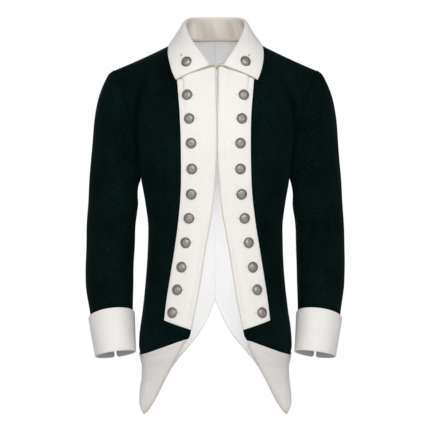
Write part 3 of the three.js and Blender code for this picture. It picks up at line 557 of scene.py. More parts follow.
def surface_normals(points, hollow):
    """Unit normals of a grid of points, pointing away from the hollow that the cloth goes round."""
    normals = np.cross(np.gradient(points, axis=0), np.gradient(points, axis=1))
    normals = normals / np.maximum(np.linalg.norm(normals, axis=-1, keepdims=True), TINY)
    middle = (points.shape[0] // 2, points.shape[1] // 2)
    if np.dot(normals[middle], points[middle] - hollow(points[middle])) < 0:
        normals = -normals
    return normals


def border_runs(points):
    """Distance of each point from the nearest border of its sheet, and the run along that border."""
    n, m = points.shape[:2]
    du = np.linalg.norm(np.diff(points, axis=0), axis=-1)
    dv = np.linalg.norm(np.diff(points, axis=1), axis=-1)
    u = np.concatenate([np.zeros((1, m)), du.cumsum(0)])
    v = np.concatenate([np.zeros((n, 1)), dv.cumsum(1)], 1)
    options = np.stack([u, u[-1:] - u, v, v[:, -1:] - v])
    return options.min(0), np.where(options.argmin(0) < 2, v, u), u, v


def border_of(n, m):
    """The places round the border of an n by m grid, in order."""
    ring = [(i, 0) for i in range(n)] + [(n - 1, j) for j in range(1, m)]
    return ring + [(i, m - 1) for i in range(n - 2, -1, -1)] + [(0, j) for j in range(m - 2, 0, -1)]


def rim_points(points, middle, reach, ring):
    """The rim of a sheet: its border at half thickness, moved away from the rest of the sheet."""
    n, m = points.shape[:2]
    rim = []
    for i, j in ring:
        away = np.zeros(3)
        if i in (0, n - 1):
            away = away + unit(points[i, j] - points[min(max(i, 1), n - 2), j] + TINY)
        if j in (0, m - 1):
            away = away + unit(points[i, j] - points[i, min(max(j, 1), m - 2)] + TINY)
        rim.append(middle[i, j] + unit(away + TINY) * reach[i, j])
    return np.array(rim)


def shell_faces(n, m, around):
    """Faces of a closed shell: the outer grid, the inner grid, and two rows from these to the rim."""
    count, size = n * m, len(around)
    i, j = np.meshgrid(np.arange(n - 1), np.arange(m - 1), indexing="ij")
    a = (i * m + j).ravel()
    outer = np.stack([a, a + m, a + m + 1, a + 1], -1)
    sides = []
    for k in range(size):
        after = (k + 1) % size
        here, there, rim_here, rim_there = around[k], around[after], 2 * count + k, 2 * count + after
        sides += [[there, here, rim_here, rim_there], [rim_there, rim_here, here + count, there + count]]
    return np.concatenate([outer, outer[:, ::-1] + count, np.array(sides)])


def mark_sheet(mesh, around, maps, marks):
    """Gives a shell its UV maps, in metres, and its masks, from values at each place of its grid."""
    index = np.zeros(len(mesh.loops), int)
    mesh.loops.foreach_get("vertex_index", index)
    for label, pair in maps.items():
        place = np.stack(pair, -1).reshape(-1, 2) * MM
        place = np.concatenate([place, place, place[around]])
        mesh.uv_layers.new(name=label).data.foreach_set("uv", place[index].ravel())
    for label, values in marks.items():
        values = values.ravel()
        mask = mesh.attributes.new(name=label, type="FLOAT", domain="POINT")
        mask.data.foreach_set("value", np.concatenate([values, values, values[around]]))


def cloth_sheet(name, points, lift, thick, hollow, relief=None, rim_cloth="facing", marks=None):
    """A closed shell of cloth on a grid of points.

    lift is how far its outer face lies off the points, thick its thickness inwards, relief an extra
    height at each point, and rim_cloth the kind of cloth whose rounded rim it has. marks are named
    masks for its material, with a value at each point.
    """
    normals = surface_normals(points, hollow)
    if relief is not None:
        points = points + normals * relief[..., None]
        normals = surface_normals(points, hollow)
    distance, along, across_cut, up_cut = border_runs(points)
    thick = thick * np.ones(points.shape[:2])
    round_off = ROUND_OFF["share"] * thick * hump(distance, ROUND_OFF["reach"])
    outer = points + normals * (lift - round_off)[..., None]
    inner = points + normals * (lift - thick + round_off)[..., None]
    n, m = points.shape[:2]
    ring = border_of(n, m)
    around = [i * m + j for i, j in ring]
    rim = rim_points(points, (outer + inner) / 2, thick * RIM[rim_cloth], ring)
    verts = np.concatenate([outer.reshape(-1, 3), inner.reshape(-1, 3), rim])
    faces = shell_faces(n, m, around)
    a, b, _, d = (verts[corner] for corner in faces[: (n - 1) * (m - 1)].T)
    if np.sum(np.cross(b - a, d - a) * normals[:-1, :-1].reshape(-1, 3)) < 0:
        faces = faces[:, ::-1]
    mesh = bpy.data.meshes.new(name)
    mesh.from_pydata((verts * MM).tolist(), [], faces.tolist())
    mesh.update()
    mesh.shade_smooth()
    mark_sheet(mesh, around, {"cut": (across_cut, up_cut), "edge": (distance, along)}, marks or {})
    piece = bpy.data.objects.new(name, mesh)
    bpy.context.scene.collection.objects.link(piece)
    return piece


FLAT = {    # the rectangle that each piece is cut from, in metres
    "front": (0.36, 0.86), "back": (0.36, 0.92), "lining": (0.34, 0.9), "turnback_front": (0.12, 0.15),
    "turnback_back": (0.22, 0.22), "lapel": (0.11, 0.62), "sleeve_upper": (0.32, 0.68),
    "sleeve_under": (0.16, 0.54), "cuff": (0.36, 0.1), "collar": (0.56, 0.17),
}


def sew(kind, word, finish, points, lift, thick, hollow, held="stretched", **cut):
    """Makes a sheet of cloth in its node's place, gives it its finish and hides the node's solid."""
    node, flat = f"{kind}_{word}".strip("_"), FLAT[kind]
    piece = cloth_sheet(f"{node}_cloth", points, lift, thick, hollow, **cut)
    piece.data.materials.append(finish_of(finish))
    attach(piece, "root")
    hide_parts(node)
    return piece


def body_hollow(place):
    """A place inside the body level with a point, or below the neck for one above it."""
    return np.array([place[0] * 0.5, 0, min(place[2], NECK_HOLLOW_Z)])


def rows_by_length(bands):
    """Joins stretches of a grid's parameter, each given as (from, to, steps)."""
    return np.concatenate([[bands[0][0]]] + [np.linspace(a, b, count + 1)[1:] for a, b, count in bands])


def edged(values):
    """The same rows with one more close to each end, for a neat rounded edge."""
    first, last = lerp(values[0], values[1], EDGE_ROW), lerp(values[-1], values[-2], EDGE_ROW)
    return np.concatenate([values[:1], [first], values[1:-1], [last], values[-1:]])


# ---------------------------------------------------------------- soft creases that only the cloth has
SLACK = {"waves": 5, "turn": 1.7, "ways": (0, 2.1, 4.4), "finer": 0.37, "weaker": 0.5}


def slack(points, size, height, seed):
    """Broad, shallow unevenness of the cloth, as a height at each point: a few waves that cross."""
    x, y, z = points[..., 0] / size, points[..., 1] / size, points[..., 2] / size
    total = 0
    for k in range(SLACK["waves"]):
        a, b, c = (math.sin(seed + SLACK["turn"] * k + turn) for turn in SLACK["ways"])
        wave = (1 + SLACK["finer"] * k) * (a * x + 1.3 * b * y + 0.9 * c * z) * 2 + seed * k
        total = total + np.sin(wave) / (1 + SLACK["weaker"] * k)
    return height * total / 2


# Troughs in the front view; x is the wearer's left when positive, and a negative depth is a ridge.
FRONT_CREASES = table(
    FOLD,
    (-146, -60, -173, -146, 9, 3.2), (-170, -120, -177, -262, 8, 4.2), (-136, -78, -156, -170, 13, -2.2),
    (140, -64, 174, -148, 9, 3.0), (171, -124, 177, -258, 8, 4.0), (134, -84, 156, -175, 13, -2.0),
    (-158, -286, -112, -318, 9, 1.2), (-150, -372, -104, -396, 11, 0.9), (154, -300, 108, -340, 9, 1.1),
    (-146, -452, -118, -560, 14, 0.9), (146, -440, 120, -575, 15, 1.0), (70, -640, 110, -625, 9, 1.4),
    (-72, -640, -108, -628, 9, 1.5),
)
BACK_CREASES = table(
    FOLD,
    (-170, -118, -174, -260, 8, 3.2), (170, -122, 175, -256, 8, 3.4), (62, -30, 150, -96, 15, 1.3),
    (-60, -34, -148, -92, 15, 1.2), (-30, -36, 34, -34, 9, 0.9), (-150, -300, -70, -352, 11, 1.5),
    (152, -296, 84, -360, 11, 1.3), (-132, -402, -24, -418, 9, 1.2), (138, -398, 34, -426, 9, 1.3),
    (8, -470, 26, -600, 9, -0.9), (-10, -468, -24, -598, 9, -0.8), (-120, -520, -128, -640, 15, 1.0),
    (118, -512, 130, -645, 15, 1.1),
)
LAPEL_CREASES = table(
    FOLD,
    (31, -52, 20, -108, 4.5, 1.3), (26, -108, 23, -330, 7, 1.0), (-20, -62, -24, -112, 5, 1.0),
    (-18, -150, -20, -350, 8, 0.9), (48, -130, 50, -250, 12, -0.6), (-46, -200, -48, -420, 12, -0.5),
    (-66, -430, -84, -610, 9, 0.6), (70, -420, 90, -600, 9, 0.7),
)
TURNBACK_CREASES = table(
    FOLD,
    (-80, -668, -150, -690, 5, 1.0), (84, -666, 150, -700, 5, 0.9), (-104, -700, -152, -716, 6, 0.8),
    (106, -706, 154, -716, 6, 0.9), (-128, -745, -160, -740, 6, 0.8), (130, -742, 160, -756, 7, 0.8),
    (-148, -700, -152, -790, 6, -0.8), (150, -705, 153, -785, 6, -0.8),
)
LINING_CREASES = table(
    FOLD,
    (-34, 0, -30, -130, 9, 2.6), (14, 4, 18, -160, 11, 2.3), (48, -6, 38, -120, 8, 2.6),
    (-12, -150, -16, -420, 12, 2.6), (22, -200, 20, -480, 11, 2.3), (-52, -330, -60, -540, 13, 2.6),
    (58, -380, 66, -560, 12, 2.6), (-6, -430, -26, -560, 8, 2.3),
)
# Creases of the sleeves, placed on their rings. The first three are ridges that fill the armpit.
SLEEVE_CREASES = {
    "left": table(
        BEND,
        (1.1, 161, 22, 0.9, -8), (2.6, 160, 18, 1.2, -7), (4.2, 162, 18, 0.9, -6.5),
        (3.8, 124, 30, 0.30, 2.8), (4.7, 150, 30, 0.26, 1.8), (2.2, 112, 30, 0.5, 1.2),
        (6.5, 138, 40, 0.28, 1.3), (7.6, 60, 44, 0.30, 1.2), (8.9, 120, 46, 0.36, 1.1),
        (9.8, 60, 60, 0.3, 0.9), (3.9, 236, 34, 0.32, 2.2), (5.2, 220, 34, 0.28, 1.6),
        (6.9, 240, 46, 0.3, 1.4), (8.3, 262, 50, 0.4, 1.2),
    ),
    "right": table(
        BEND,
        (1.0, 160, 22, 0.9, -8), (2.5, 159, 18, 1.2, -7), (4.1, 162, 18, 0.9, -6.5),
        (3.9, 122, 32, 0.32, 3.0), (4.9, 152, 28, 0.24, 1.7), (2.5, 116, 28, 0.45, 1.1),
        (6.1, 132, 44, 0.26, 1.2), (7.2, 48, 40, 0.32, 1.1), (8.4, 130, 50, 0.34, 1.3),
        (9.6, 76, 56, 0.34, 0.8), (4.1, 232, 36, 0.30, 2.3), (5.6, 226, 32, 0.30, 1.5),
        (7.1, 236, 44, 0.3, 1.5), (8.7, 256, 52, 0.4, 1.1),
    ),
}


def relief_of(rows, size, height, seed):
    """A function that gives the height of slack cloth with a set of creases at each point."""
    return lambda points: slack(points, size, height, seed) - troughs(rows, points[..., 0], points[..., 2])


RELIEF = {
    "front": relief_of(FRONT_CREASES + LAPEL_CREASES + TURNBACK_CREASES, 90, 0.5, 1.0),
    "back": relief_of(BACK_CREASES + TURNBACK_CREASES, 90, 0.6, 2.0),
}
COLUMNS = {
    "front": edged(rows_by_length([(0, STRIP_LAPEL, STEPS["lapel"]), (STRIP_LAPEL, 1, STEPS["front"])])),
    "back": edged(rows_by_length([(0, 1, STEPS["back"])])),
}
CORNER_ROWS = rows_by_length([(0, BAND["corner"], STEPS["corner"])])
MIDDLE_ROWS = rows_by_length([
    (BAND["corner"], BAND["foot"], STEPS["foot"]), (BAND["foot"], BAND["underarm"], STEPS["side"])])
LAPEL_TOP = lerp(BAND["underarm"], 1, math.acos(1 - 2 * LAPEL["top_level"]) / math.pi)
UPPER_ROWS = rows_by_length([(BAND["underarm"], LAPEL_TOP, STEPS["chest"]), (LAPEL_TOP, 1, STEPS["top"])])
ALL_ROWS = edged(np.concatenate([CORNER_ROWS, MIDDLE_ROWS[1:], UPPER_ROWS[1:]]))


def panel_grid(side, face, ts, vs):
    """The creased surface of a front or back at given columns and rows."""
    t, v = np.meshgrid(ts, vs, indexing="ij")
    points = panel_point(side, face, t, v)
    relief = RELIEF[face](points)
    if face == "front":
        relief = relief + front_roll(points)[0]
    return points + surface_normals(points, body_hollow) * relief[..., None]


def front_roll(points):
    """The shallow dip behind the front edge below the chest, and the lapel's rounder roll before it."""
    away = border_runs(points)[2]
    fade = rise(points[..., 2], LAPEL_ROLL["from"], LAPEL_ROLL["to"])
    dip = -LAPEL_ROLL["dip"] * hump(away - LAPEL_ROLL["dip_at"], LAPEL_ROLL["dip_wide"])
    ridge = LAPEL_ROLL["ridge"] * hump(away - LAPEL_ROLL["ridge_at"], LAPEL_ROLL["ridge_wide"])
    return dip * fade, ridge * fade


def wrapped_corner(points, thick, wool):
    """A turned corner's outer face, carried round the fold of the skirt, its thickness at each point,
    and the point's distance from the fold.
    """
    normals = surface_normals(points, body_hollow)
    from_fold = border_runs(points)[3]
    depth = lerp(FOLD_THICK, thick, smooth(rise(from_fold, 0, FOLD_PRESS)))
    tangent = unit(np.gradient(points[:, 0], axis=0))
    normal = normals[:, 0]
    down = points[:, 0] - points[:, 1]
    down = down - (down * tangent).sum(-1, keepdims=True) * tangent
    down = unit(down - (down * normal).sum(-1, keepdims=True) * normal)
    outside, inside = SEAM + FOLD_THICK, wool + SEAM + FOLD_THICK
    radius, middle = (outside + inside) / 2, (outside - inside) / 2
    turned = [
        points[:, 0] + normal * (middle + radius * math.cos(a)) + down * radius * math.sin(a)
        for a in np.linspace(math.pi, 0, STEPS["fold"] + 1)[:-1]
    ]
    outer = points + normals * (SEAM + depth)[..., None]
    rows = turned + [outer[:, k] for k in range(points.shape[1])]
    begin = np.full((points.shape[0], len(turned)), FOLD_THICK)
    return np.stack(rows, 1), np.concatenate([begin, depth], 1), np.concatenate([begin * 0, from_fold], 1)


# ---------------------------------------------------------------- materials
def node_group(name, inputs, outputs):
    group = bpy.data.node_groups.new(name, "ShaderNodeTree")
    for label, kind, default in inputs:
        socket = group.interface.new_socket(name=label, in_out="INPUT", socket_type=kind)
        if default is not None:
            socket.default_value = default
    for label in outputs:
        group.interface.new_socket(name=label, in_out="OUTPUT", socket_type="NodeSocketFloat")
    return group, group.nodes.new("NodeGroupInput"), group.nodes.new("NodeGroupOutput")


def add_node(tree, kind, links=(), **values):
    """Adds a node, sets its values by socket or property name, and links (output, input) pairs."""
    node = tree.nodes.new(kind)
    for name, value in values.items():
        label = name.replace("_", " ")
        if label in node.inputs:
            node.inputs[label].default_value = value
        else:
            setattr(node, name, value)
    for output, name in links:
        tree.links.new(output, node.inputs[name])
    return node


def maths(tree, operation, a, b=None):
    node = tree.nodes.new("ShaderNodeMath")
    node.operation = operation
    for socket, value in zip(node.inputs, (a, b)):
        if isinstance(value, bpy.types.NodeSocket):
            tree.links.new(value, socket)
        elif value is not None:
            socket.default_value = value
    return node.outputs[0]


def times(tree, a, b):
    return maths(tree, "MULTIPLY", a, b)


def plus(tree, a, b):
    return maths(tree, "ADD", a, b)


def eased(tree, value, start, end, low=1.0, high=0.0):
    """A value that goes softly from low to high between start and end."""
    return add_node(
        tree, "ShaderNodeMapRange", [(value, "Value")], interpolation_type="SMOOTHSTEP",
        From_Min=start, From_Max=end, To_Min=low, To_Max=high).outputs["Result"]


def placed(tree, name, build, vector, **values):
    """A shared node group laid on the piece's own coordinates, or on one of its UV maps."""
    if vector == "Object":
        source = tree.nodes.new("ShaderNodeTexCoord").outputs["Object"]
    else:
        source = add_node(tree, "ShaderNodeUVMap", uv_map=vector).outputs["UV"]
    group = bpy.data.node_groups.get(name) or build(name)
    return add_node(tree, "ShaderNodeGroup", [(source, "Vector")], node_tree=group, **values)


def nap_group(name):
    """Fulled wool: short fibres brushed downwards over a weave that hardly shows, and broad clouding."""
    group, inside, outside = node_group(
        name,
        [("Vector", "NodeSocketVector", None), ("Fibre scale", "NodeSocketFloat", 900.0),
         ("Felt scale", "NodeSocketFloat", 330.0), ("Cloud scale", "NodeSocketFloat", 16.0)],
        ["Tone", "Height"],
    )
    brushed = add_node(group, "ShaderNodeMapping", [(inside.outputs["Vector"], "Vector")], Scale=(1, 1, 0.6))
    fibre, felt, cloud = (
        add_node(
            group, "ShaderNodeTexNoise",
            [(brushed.outputs["Vector"], "Vector"), (inside.outputs[label + " scale"], "Scale")],
            Detail=detail, Roughness=0.6,
        ).outputs["Fac"]
        for label, detail in (("Fibre", 3), ("Felt", 4), ("Cloud", 3))
    )
    tone = plus(group, times(group, felt, 0.5), times(group, fibre, 0.25))
    group.links.new(plus(group, tone, times(group, cloud, 0.25)), outside.inputs["Tone"])
    height = plus(group, times(group, felt, 0.6), times(group, fibre, 0.4))
    group.links.new(height, outside.inputs["Height"])
    return group


def edge_group(name):
    """The pressed edge of a faced piece: a flat rim that takes a painted highlight, and behind it a line of
    small prick stitches, sunk and darkened with painted shade.
    """
    group, inside, outside = node_group(
        name,
        [("Vector", "NodeSocketVector", None), ("Rim", "NodeSocketFloat", 0.0026),
         ("Stitch", "NodeSocketFloat", 0.0036)],
        ["Rim", "Groove"],
    )
    parts = add_node(group, "ShaderNodeSeparateXYZ", [(inside.outputs["Vector"], "Vector")])
    distance, along = parts.outputs["X"], parts.outputs["Y"]
    share = maths(group, "DIVIDE", distance, inside.outputs["Rim"])
    group.links.new(eased(group, share, 0.5, 1.0), outside.inputs["Rim"])
    away = maths(group, "ABSOLUTE", maths(group, "SUBTRACT", distance, inside.outputs["Rim"]))
    turn = times(group, maths(group, "DIVIDE", along, inside.outputs["Stitch"]), 2 * math.pi)
    prick = plus(group, times(group, maths(group, "COSINE", turn), 0.35), 0.65)
    group.links.new(times(group, eased(group, away, 0.0, 0.0008), prick), outside.inputs["Groove"])
    return group


def twill_group(name):
    """A smooth lining: fine slanting twill lines on the cut of the cloth."""
    group, inside, outside = node_group(
        name, [("Vector", "NodeSocketVector", None), ("Scale", "NodeSocketFloat", 700.0)], ["Height"])
    turned = add_node(
        group, "ShaderNodeMapping", [(inside.outputs["Vector"], "Vector")], Rotation=(0, 0, 0.9))
    wave = add_node(
        group, "ShaderNodeTexWave",
        [(turned.outputs["Vector"], "Vector"), (inside.outputs["Scale"], "Scale")],
        Distortion=0.6, Detail=1.0)
    group.links.new(wave.outputs["Fac"], outside.inputs["Height"])
    return group


def colour(value, share=1.0):
    return tuple(min(1, c * share) for c in value[:3]) + (1,)


def new_material(name, **values):
    material = bpy.data.materials.new(name)
    material.use_nodes = True
    shader = material.node_tree.nodes["Principled BSDF"]
    for label, value in values.items():
        shader.inputs[label.replace("_", " ")].default_value = value
    return material, material.node_tree, shader


def toned(tree, value, tint, *stops):
    """A tint that is darker or lighter as a value goes from one place to another: (place, share) pairs."""
    node = tree.nodes.new("ShaderNodeValToRGB")
    tree.links.new(value, node.inputs["Fac"])
    for stop, (place, share) in zip(node.color_ramp.elements, stops):
        stop.position, stop.color = place, colour(tint, share)
    return node.outputs["Color"]


def raised(tree, shader, height, strength, distance):
    relief = add_node(tree, "ShaderNodeBump", [(height, "Height")], Strength=strength, Distance=distance)
    tree.links.new(relief.outputs["Normal"], shader.inputs["Normal"])


def mixed(tree, factor, a, b):
    node = add_node(tree, "ShaderNodeMix", data_type="RGBA")
    tree.links.new(factor, node.inputs[0])
    for socket, value in ((node.inputs[6], a), (node.inputs[7], b)):
        if isinstance(value, bpy.types.NodeSocket):
            tree.links.new(value, socket)
        else:
            socket.default_value = value
    return node.outputs[2]


def wool(name, tint, contrast, bump, faced, shades=(), **values):
    """Fulled wool of one colour. faced adds the pressed and pricked edge of collar, lapels and cuffs, with a
    painted highlight on its rim and painted shade in its stitches.

    shades are the tints that it takes where one of its sheet's masks says so.
    """
    material, tree, shader = new_material(name, **values)
    nap = placed(tree, "Fulled wool nap", nap_group, "Object").outputs
    tone = toned(tree, nap["Tone"], tint, (0.36, 1 - contrast), (0.64, 1 + contrast))
    height = nap["Height"]
    if faced:
        edge = placed(tree, "Pressed edge", edge_group, "edge").outputs
        # A painted highlight along the pressed rim.
        tone = mixed(tree, times(tree, edge["Rim"], 0.35), tone, colour(tint, 1.08))
        # Painted shade in the sunk line of prick stitches.
        tone = mixed(tree, times(tree, edge["Groove"], 0.45), tone, colour(tint, 0.72))
        height = maths(tree, "SUBTRACT", height, times(tree, edge["Groove"], 1.6))
    for label, shade in shades:
        mask = add_node(tree, "ShaderNodeAttribute", attribute_name=label).outputs["Fac"]
        tone = mixed(tree, mask, tone, mixed(tree, nap["Tone"], colour(shade, 0.8), colour(shade, 1.2)))
    tree.links.new(tone, shader.inputs["Base Color"])
    raised(tree, shader, height, 0.7, bump)
    return material


def silky_lining(name, tint, **values):
    """A smooth twill, with faint broad clouding."""
    material, tree, shader = new_material(name, **values)
    nap = placed(tree, "Fulled wool nap", nap_group, "Object", Cloud_scale=9)
    tone = toned(tree, nap.outputs["Tone"], tint, (0.35, 0.96), (0.65, 1.03))
    tree.links.new(tone, shader.inputs["Base Color"])
    raised(tree, shader, placed(tree, "Lining twill", twill_group, "cut").outputs["Height"], 0.3, 0.0001)
    return material


def metal(name, tint, polish, grime):
    """Cast or drawn metal, brighter on what rubs and darker where polish doesn't reach."""
    material, tree, shader = new_material(name, Metallic=1.0)
    place = tree.nodes.new("ShaderNodeTexCoord").outputs["Object"]
    stain = add_node(tree, "ShaderNodeTexNoise", [(place, "Vector")], Scale=420.0, Detail=5.0).outputs["Fac"]
    wear = tree.nodes.new("ShaderNodeNewGeometry").outputs["Pointiness"]
    wear = add_node(tree, "ShaderNodeMapRange", [(wear, "Value")], From_Min=0.44, From_Max=0.56)
    worn = plus(tree, times(tree, wear.outputs["Result"], 0.7), times(tree, stain, 0.3))
    tree.links.new(toned(tree, worn, tint, (0.25, grime), (0.75, 1.15)), shader.inputs["Base Color"])
    rough = add_node(tree, "ShaderNodeMapRange", [(worn, "Value")], To_Min=polish + 0.25, To_Max=polish)
    tree.links.new(rough.outputs["Result"], shader.inputs["Roughness"])
    raised(tree, shader, stain, 0.4, 0.0002)
    return material


def finish_of(kind):
    """The finish of one kind of piece, made the first time that it is asked for."""
    made = bpy.data.materials.get(kind)
    if made:
        return made
    tints = bpy.context.scene.coat_colours
    soft = {"Sheen_Roughness": 0.5, "Specular_IOR_Level": 0.12}
    thread = {"Roughness": 0.7, "Sheen_Weight": 0.1, **soft}
    if kind == "Green wool":
        return wool(
            kind, tints.green, 1.0, 0.0008, False, (("fold", tints.shade),), Roughness=0.9,
            Sheen_Weight=0.025, Sheen_Tint=(0.3, 0.75, 0.7, 1), Sheen_Roughness=0.5, Specular_IOR_Level=0.03)
    if kind == "Cream wool":
        # Both masks paint shade: the collar stand's shaded inner face, and painted shade lines along the
        # lapels' edges and the collar's crest, hem and front ends.
        marks = (("stand", tints.stand), ("seam", tints.thread))
        return wool(kind, tints.cream, 0.035, 0.0003, True, marks, Roughness=0.85, Sheen_Weight=0.08, **soft)
    if kind == "Turnback serge":
        marks = (("fold", tints.stand),)
        return wool(kind, tints.turnback, 0.03, 0.0003, True, marks, Roughness=0.8, Sheen_Weight=0.08, **soft)
    if kind == "Buttonhole thread":
        pale = lerp(np.array(tints.thread), np.array(tints.cream), 0.45)
        return wool(kind, pale, 0.12, 0.0004, False, **thread)
    if kind == "Tack thread":
        return wool(kind, tints.tack, 0.12, 0.0004, False, **thread)
    if kind == "Pale lining":
        return silky_lining(kind, tints.lining, Roughness=0.55, Sheen_Weight=0.15, **soft)
    if kind == "Worn pewter":
        return metal(kind, tints.pewter, 0.46, 0.2)
    return metal(kind, tints.wire, 0.3, 0.6)


# ---------------------------------------------------------------- what a user would change
def length_setting(label, about, millimetres, least=0.5, most=3.0):
    return bpy.props.FloatProperty(
        name=label, description=about, default=millimetres * MM, min=least * MM, max=most * MM,
        unit="LENGTH", subtype="DISTANCE", precision=4)


def colour_setting(label, about, value):
    return bpy.props.FloatVectorProperty(
        name=label, description=f"Colour: {about}", default=value, min=0, max=1, size=3, subtype="COLOR")


class CoatSizes(bpy.types.PropertyGroup):
    wool: length_setting("Body cloth", "Thickness of the fronts, backs and sleeves", CLOTH["wool"], 1)
    facing: length_setting("Facings", "Thickness of the lapels, cuffs and turned corners", CLOTH["facing"], 1)
    collar: length_setting("Collar cloth", "Thickness of the collar", CLOTH["collar"], 1)
    lining: length_setting("Lining", "Thickness of the lining", CLOTH["lining"])


class CoatColours(bpy.types.PropertyGroup):
    green: colour_setting("Body wool", "Fronts, backs and sleeves", (0.0014, 0.0057, 0.0054))
    cream: colour_setting("Facing wool", "Collar, lapels and cuffs", (0.845, 0.823, 0.79))
    # Painted shade: the collar stand's inner face in shadow, and the turned corners' shaded folds.
    stand: colour_setting("Collar stand", "The collar's inner face, and shaded folds", (0.60, 0.54, 0.47))
    turnback: colour_setting("Turned corners", "The turned-back skirt corners", (0.78, 0.752, 0.735))
    lining: colour_setting("Lining", "The smooth lining of the backs", (0.80, 0.79, 0.79))
    shade: colour_setting("Shaded wool", "The body wool in its deep folds", (0.0003, 0.0012, 0.0011))
    # Also the tint of the painted shade lines on the lapels and the collar.
    thread: colour_setting("Thread", "Seams and buttonholes", (0.50, 0.38, 0.27))
    tack: colour_setting("Tacks", "The short tacks on the collar", (0.20, 0.16, 0.13))
    pewter: colour_setting("Buttons", "The buttons' metal", (0.43, 0.40, 0.37))
    wire: colour_setting("Hook and eye", "The wire of the hook and eye", (0.80, 0.77, 0.72))


# ---------------------------------------------------------------- the pieces
class COAT_OT_fronts(bpy.types.Operator):
    """Makes the two fronts, from the shoulder seam to the fold of the skirt"""

    bl_idname = "coat.fronts"
    bl_label = "Fronts"

    def execute(self, context):
        thick = context.scene.coat_sizes.wool / MM
        for word, side in SIDES:
            points = panel_grid(side, "front", COLUMNS["front"], ALL_ROWS)
            deep = troughs(FRONT_CREASES, points[..., 0], points[..., 2])
            sew("front", word, "Green wool", points, 0, thick, body_hollow, rim_cloth="wool",
                marks={"fold": FOLD_SHADE["front"] * rise(deep, 0, FOLD_SHADE["deep"])})
        return {"FINISHED"}


class COAT_OT_backs(bpy.types.Operator):
    """Makes the two backs, joined down the middle as far as the vent"""

    bl_idname = "coat.backs"
    bl_label = "Backs"

    def execute(self, context):
        thick = context.scene.coat_sizes.wool / MM
        for word, side in SIDES:
            points = panel_grid(side, "back", COLUMNS["back"], ALL_ROWS)
            sew("back", word, "Green wool", points, 0, thick, body_hollow, rim_cloth="wool")
        return {"FINISHED"}


class COAT_OT_linings(bpy.types.Operator):
    """Makes the pale lining inside the backs, with soft folds, felled over the turned hem"""

    bl_idname = "coat.linings"
    bl_label = "Linings"

    def execute(self, context):
        sizes = context.scene.coat_sizes
        hem = CORNER_ROWS[1] * LINING_HEM["short"]
        rows = edged(np.concatenate([[hem], CORNER_ROWS[1:], MIDDLE_ROWS[1:], UPPER_ROWS[1:-1]]))
        for word, side in SIDES:
            points = panel_grid(side, "back", COLUMNS["back"][:-LINING_HEM["columns"]], rows)
            folds = relief_of(LINING_CREASES, 60, 0.5, 4.0 + side)(points) - LINING_HEM["slack"]
            sew("lining", word, "Pale lining", points, -sizes.wool / MM - SEAM, sizes.lining / MM,
                body_hollow, rim_cloth="lining",
                relief=np.minimum(0, folds) * rise(rows, 0, LINING_HEM["felled"]))
        return {"FINISHED"}


class COAT_OT_turnbacks(bpy.types.Operator):
    """Makes the four skirt corners, each carried round the fold and meeting its fellow at the side"""

    bl_idname = "coat.turnbacks"
    bl_label = "Turned-back corners"

    def execute(self, context):
        sizes = context.scene.coat_sizes
        for word, side in SIDES:
            for face in ("front", "back"):
                grid = panel_grid(side, face, COLUMNS[face], edged(CORNER_ROWS))
                points, depth, from_fold = wrapped_corner(grid, sizes.facing / MM, sizes.wool / MM)
                shade = FOLD_SHADE[face] * np.exp(-from_fold / FOLD_SHADE["reach"])
                sew(f"turnback_{face}", word, "Turnback serge", points, 0, depth, body_hollow,
                    held="folded", marks={"fold": shade})
        return {"FINISHED"}


class COAT_OT_lapels(bpy.types.Operator):
    """Makes the two lapels, buttoned back on the fronts, with a soft roll down the lower front edge"""

    bl_idname = "coat.lapels"
    bl_label = "Lapels"

    def execute(self, context):
        thick = context.scene.coat_sizes.facing / MM
        columns = edged(COLUMNS["front"][COLUMNS["front"] <= STRIP_LAPEL + 1e-6])
        rows = edged(np.concatenate([MIDDLE_ROWS[STEPS["foot"]:], UPPER_ROWS[1:-2]]))
        for word, side in SIDES:
            points = panel_grid(side, "front", columns, rows)
            # A painted shade line along the lapel's front edge, fainter above and stronger below.
            low = rise(points[..., 2], LAPEL_EDGE_SHADE["from"], LAPEL_EDGE_SHADE["to"])
            seam = lerp(LAPEL_EDGE_SHADE["upper"], LAPEL_EDGE_SHADE["lower"], low)
            piece = sew(
                "lapel", word, "Cream wool", points, SEAM + thick, thick, body_hollow,
                relief=front_roll(points)[1],
                marks={"seam": seam * hump(border_runs(points)[2], LAPEL_EDGE_SHADE["wide"])})
            add_buttonholes(piece, word, side)
        return {"FINISHED"}


def laid_line(cloth, start, end, count):
    """Points on the outside of a piece of cloth, along a straight line as seen from the front."""
    tree = BVHTree.FromObject(cloth, bpy.context.evaluated_depsgraph_get())
    points, normals = [], []
    for share in np.linspace(0, 1, count):
        x, z = lerp(np.array(start, float), np.array(end, float), share) * MM
        place, normal, _, _ = tree.ray_cast(Vector((x, -0.4, z)), Vector((0, 1, 0)))
        if place is None:
            raise RuntimeError(f"no cloth under a stitch at {x:.3f}, {z:.3f}")
        points.append(np.array(place) / MM)
        normals.append(np.array(normal) * (1 if normal.y < 0 else -1))
    return np.array(points), np.array(normals)


def worked_bar(name, cloth, start, end, width):
    """A buttonhole's worked edges or a bar tack: two raised rows of stitches beside a cut."""
    middle, normals = laid_line(cloth, start, end, BAR_STEPS)
    across = unit(np.cross(normals, unit(middle[-1] - middle[0])))
    narrowed = np.sin(np.pi * np.clip(np.linspace(0.06, 0.94, BAR_STEPS), 0.1, 0.9)) ** 0.4
    halves = [(-a, h) for a, h in BAR_PROFILE[:0:-1]] + list(BAR_PROFILE)
    rows = [
        middle + across * (a * width * narrowed)[:, None] + normals * (BAR_LIFT + h) for a, h in halves
    ]
    inwards = normals[BAR_STEPS // 2] * -50
    return cloth_sheet(name, np.stack(rows, 1), 0, BAR_THICK, lambda place: place + inwards)


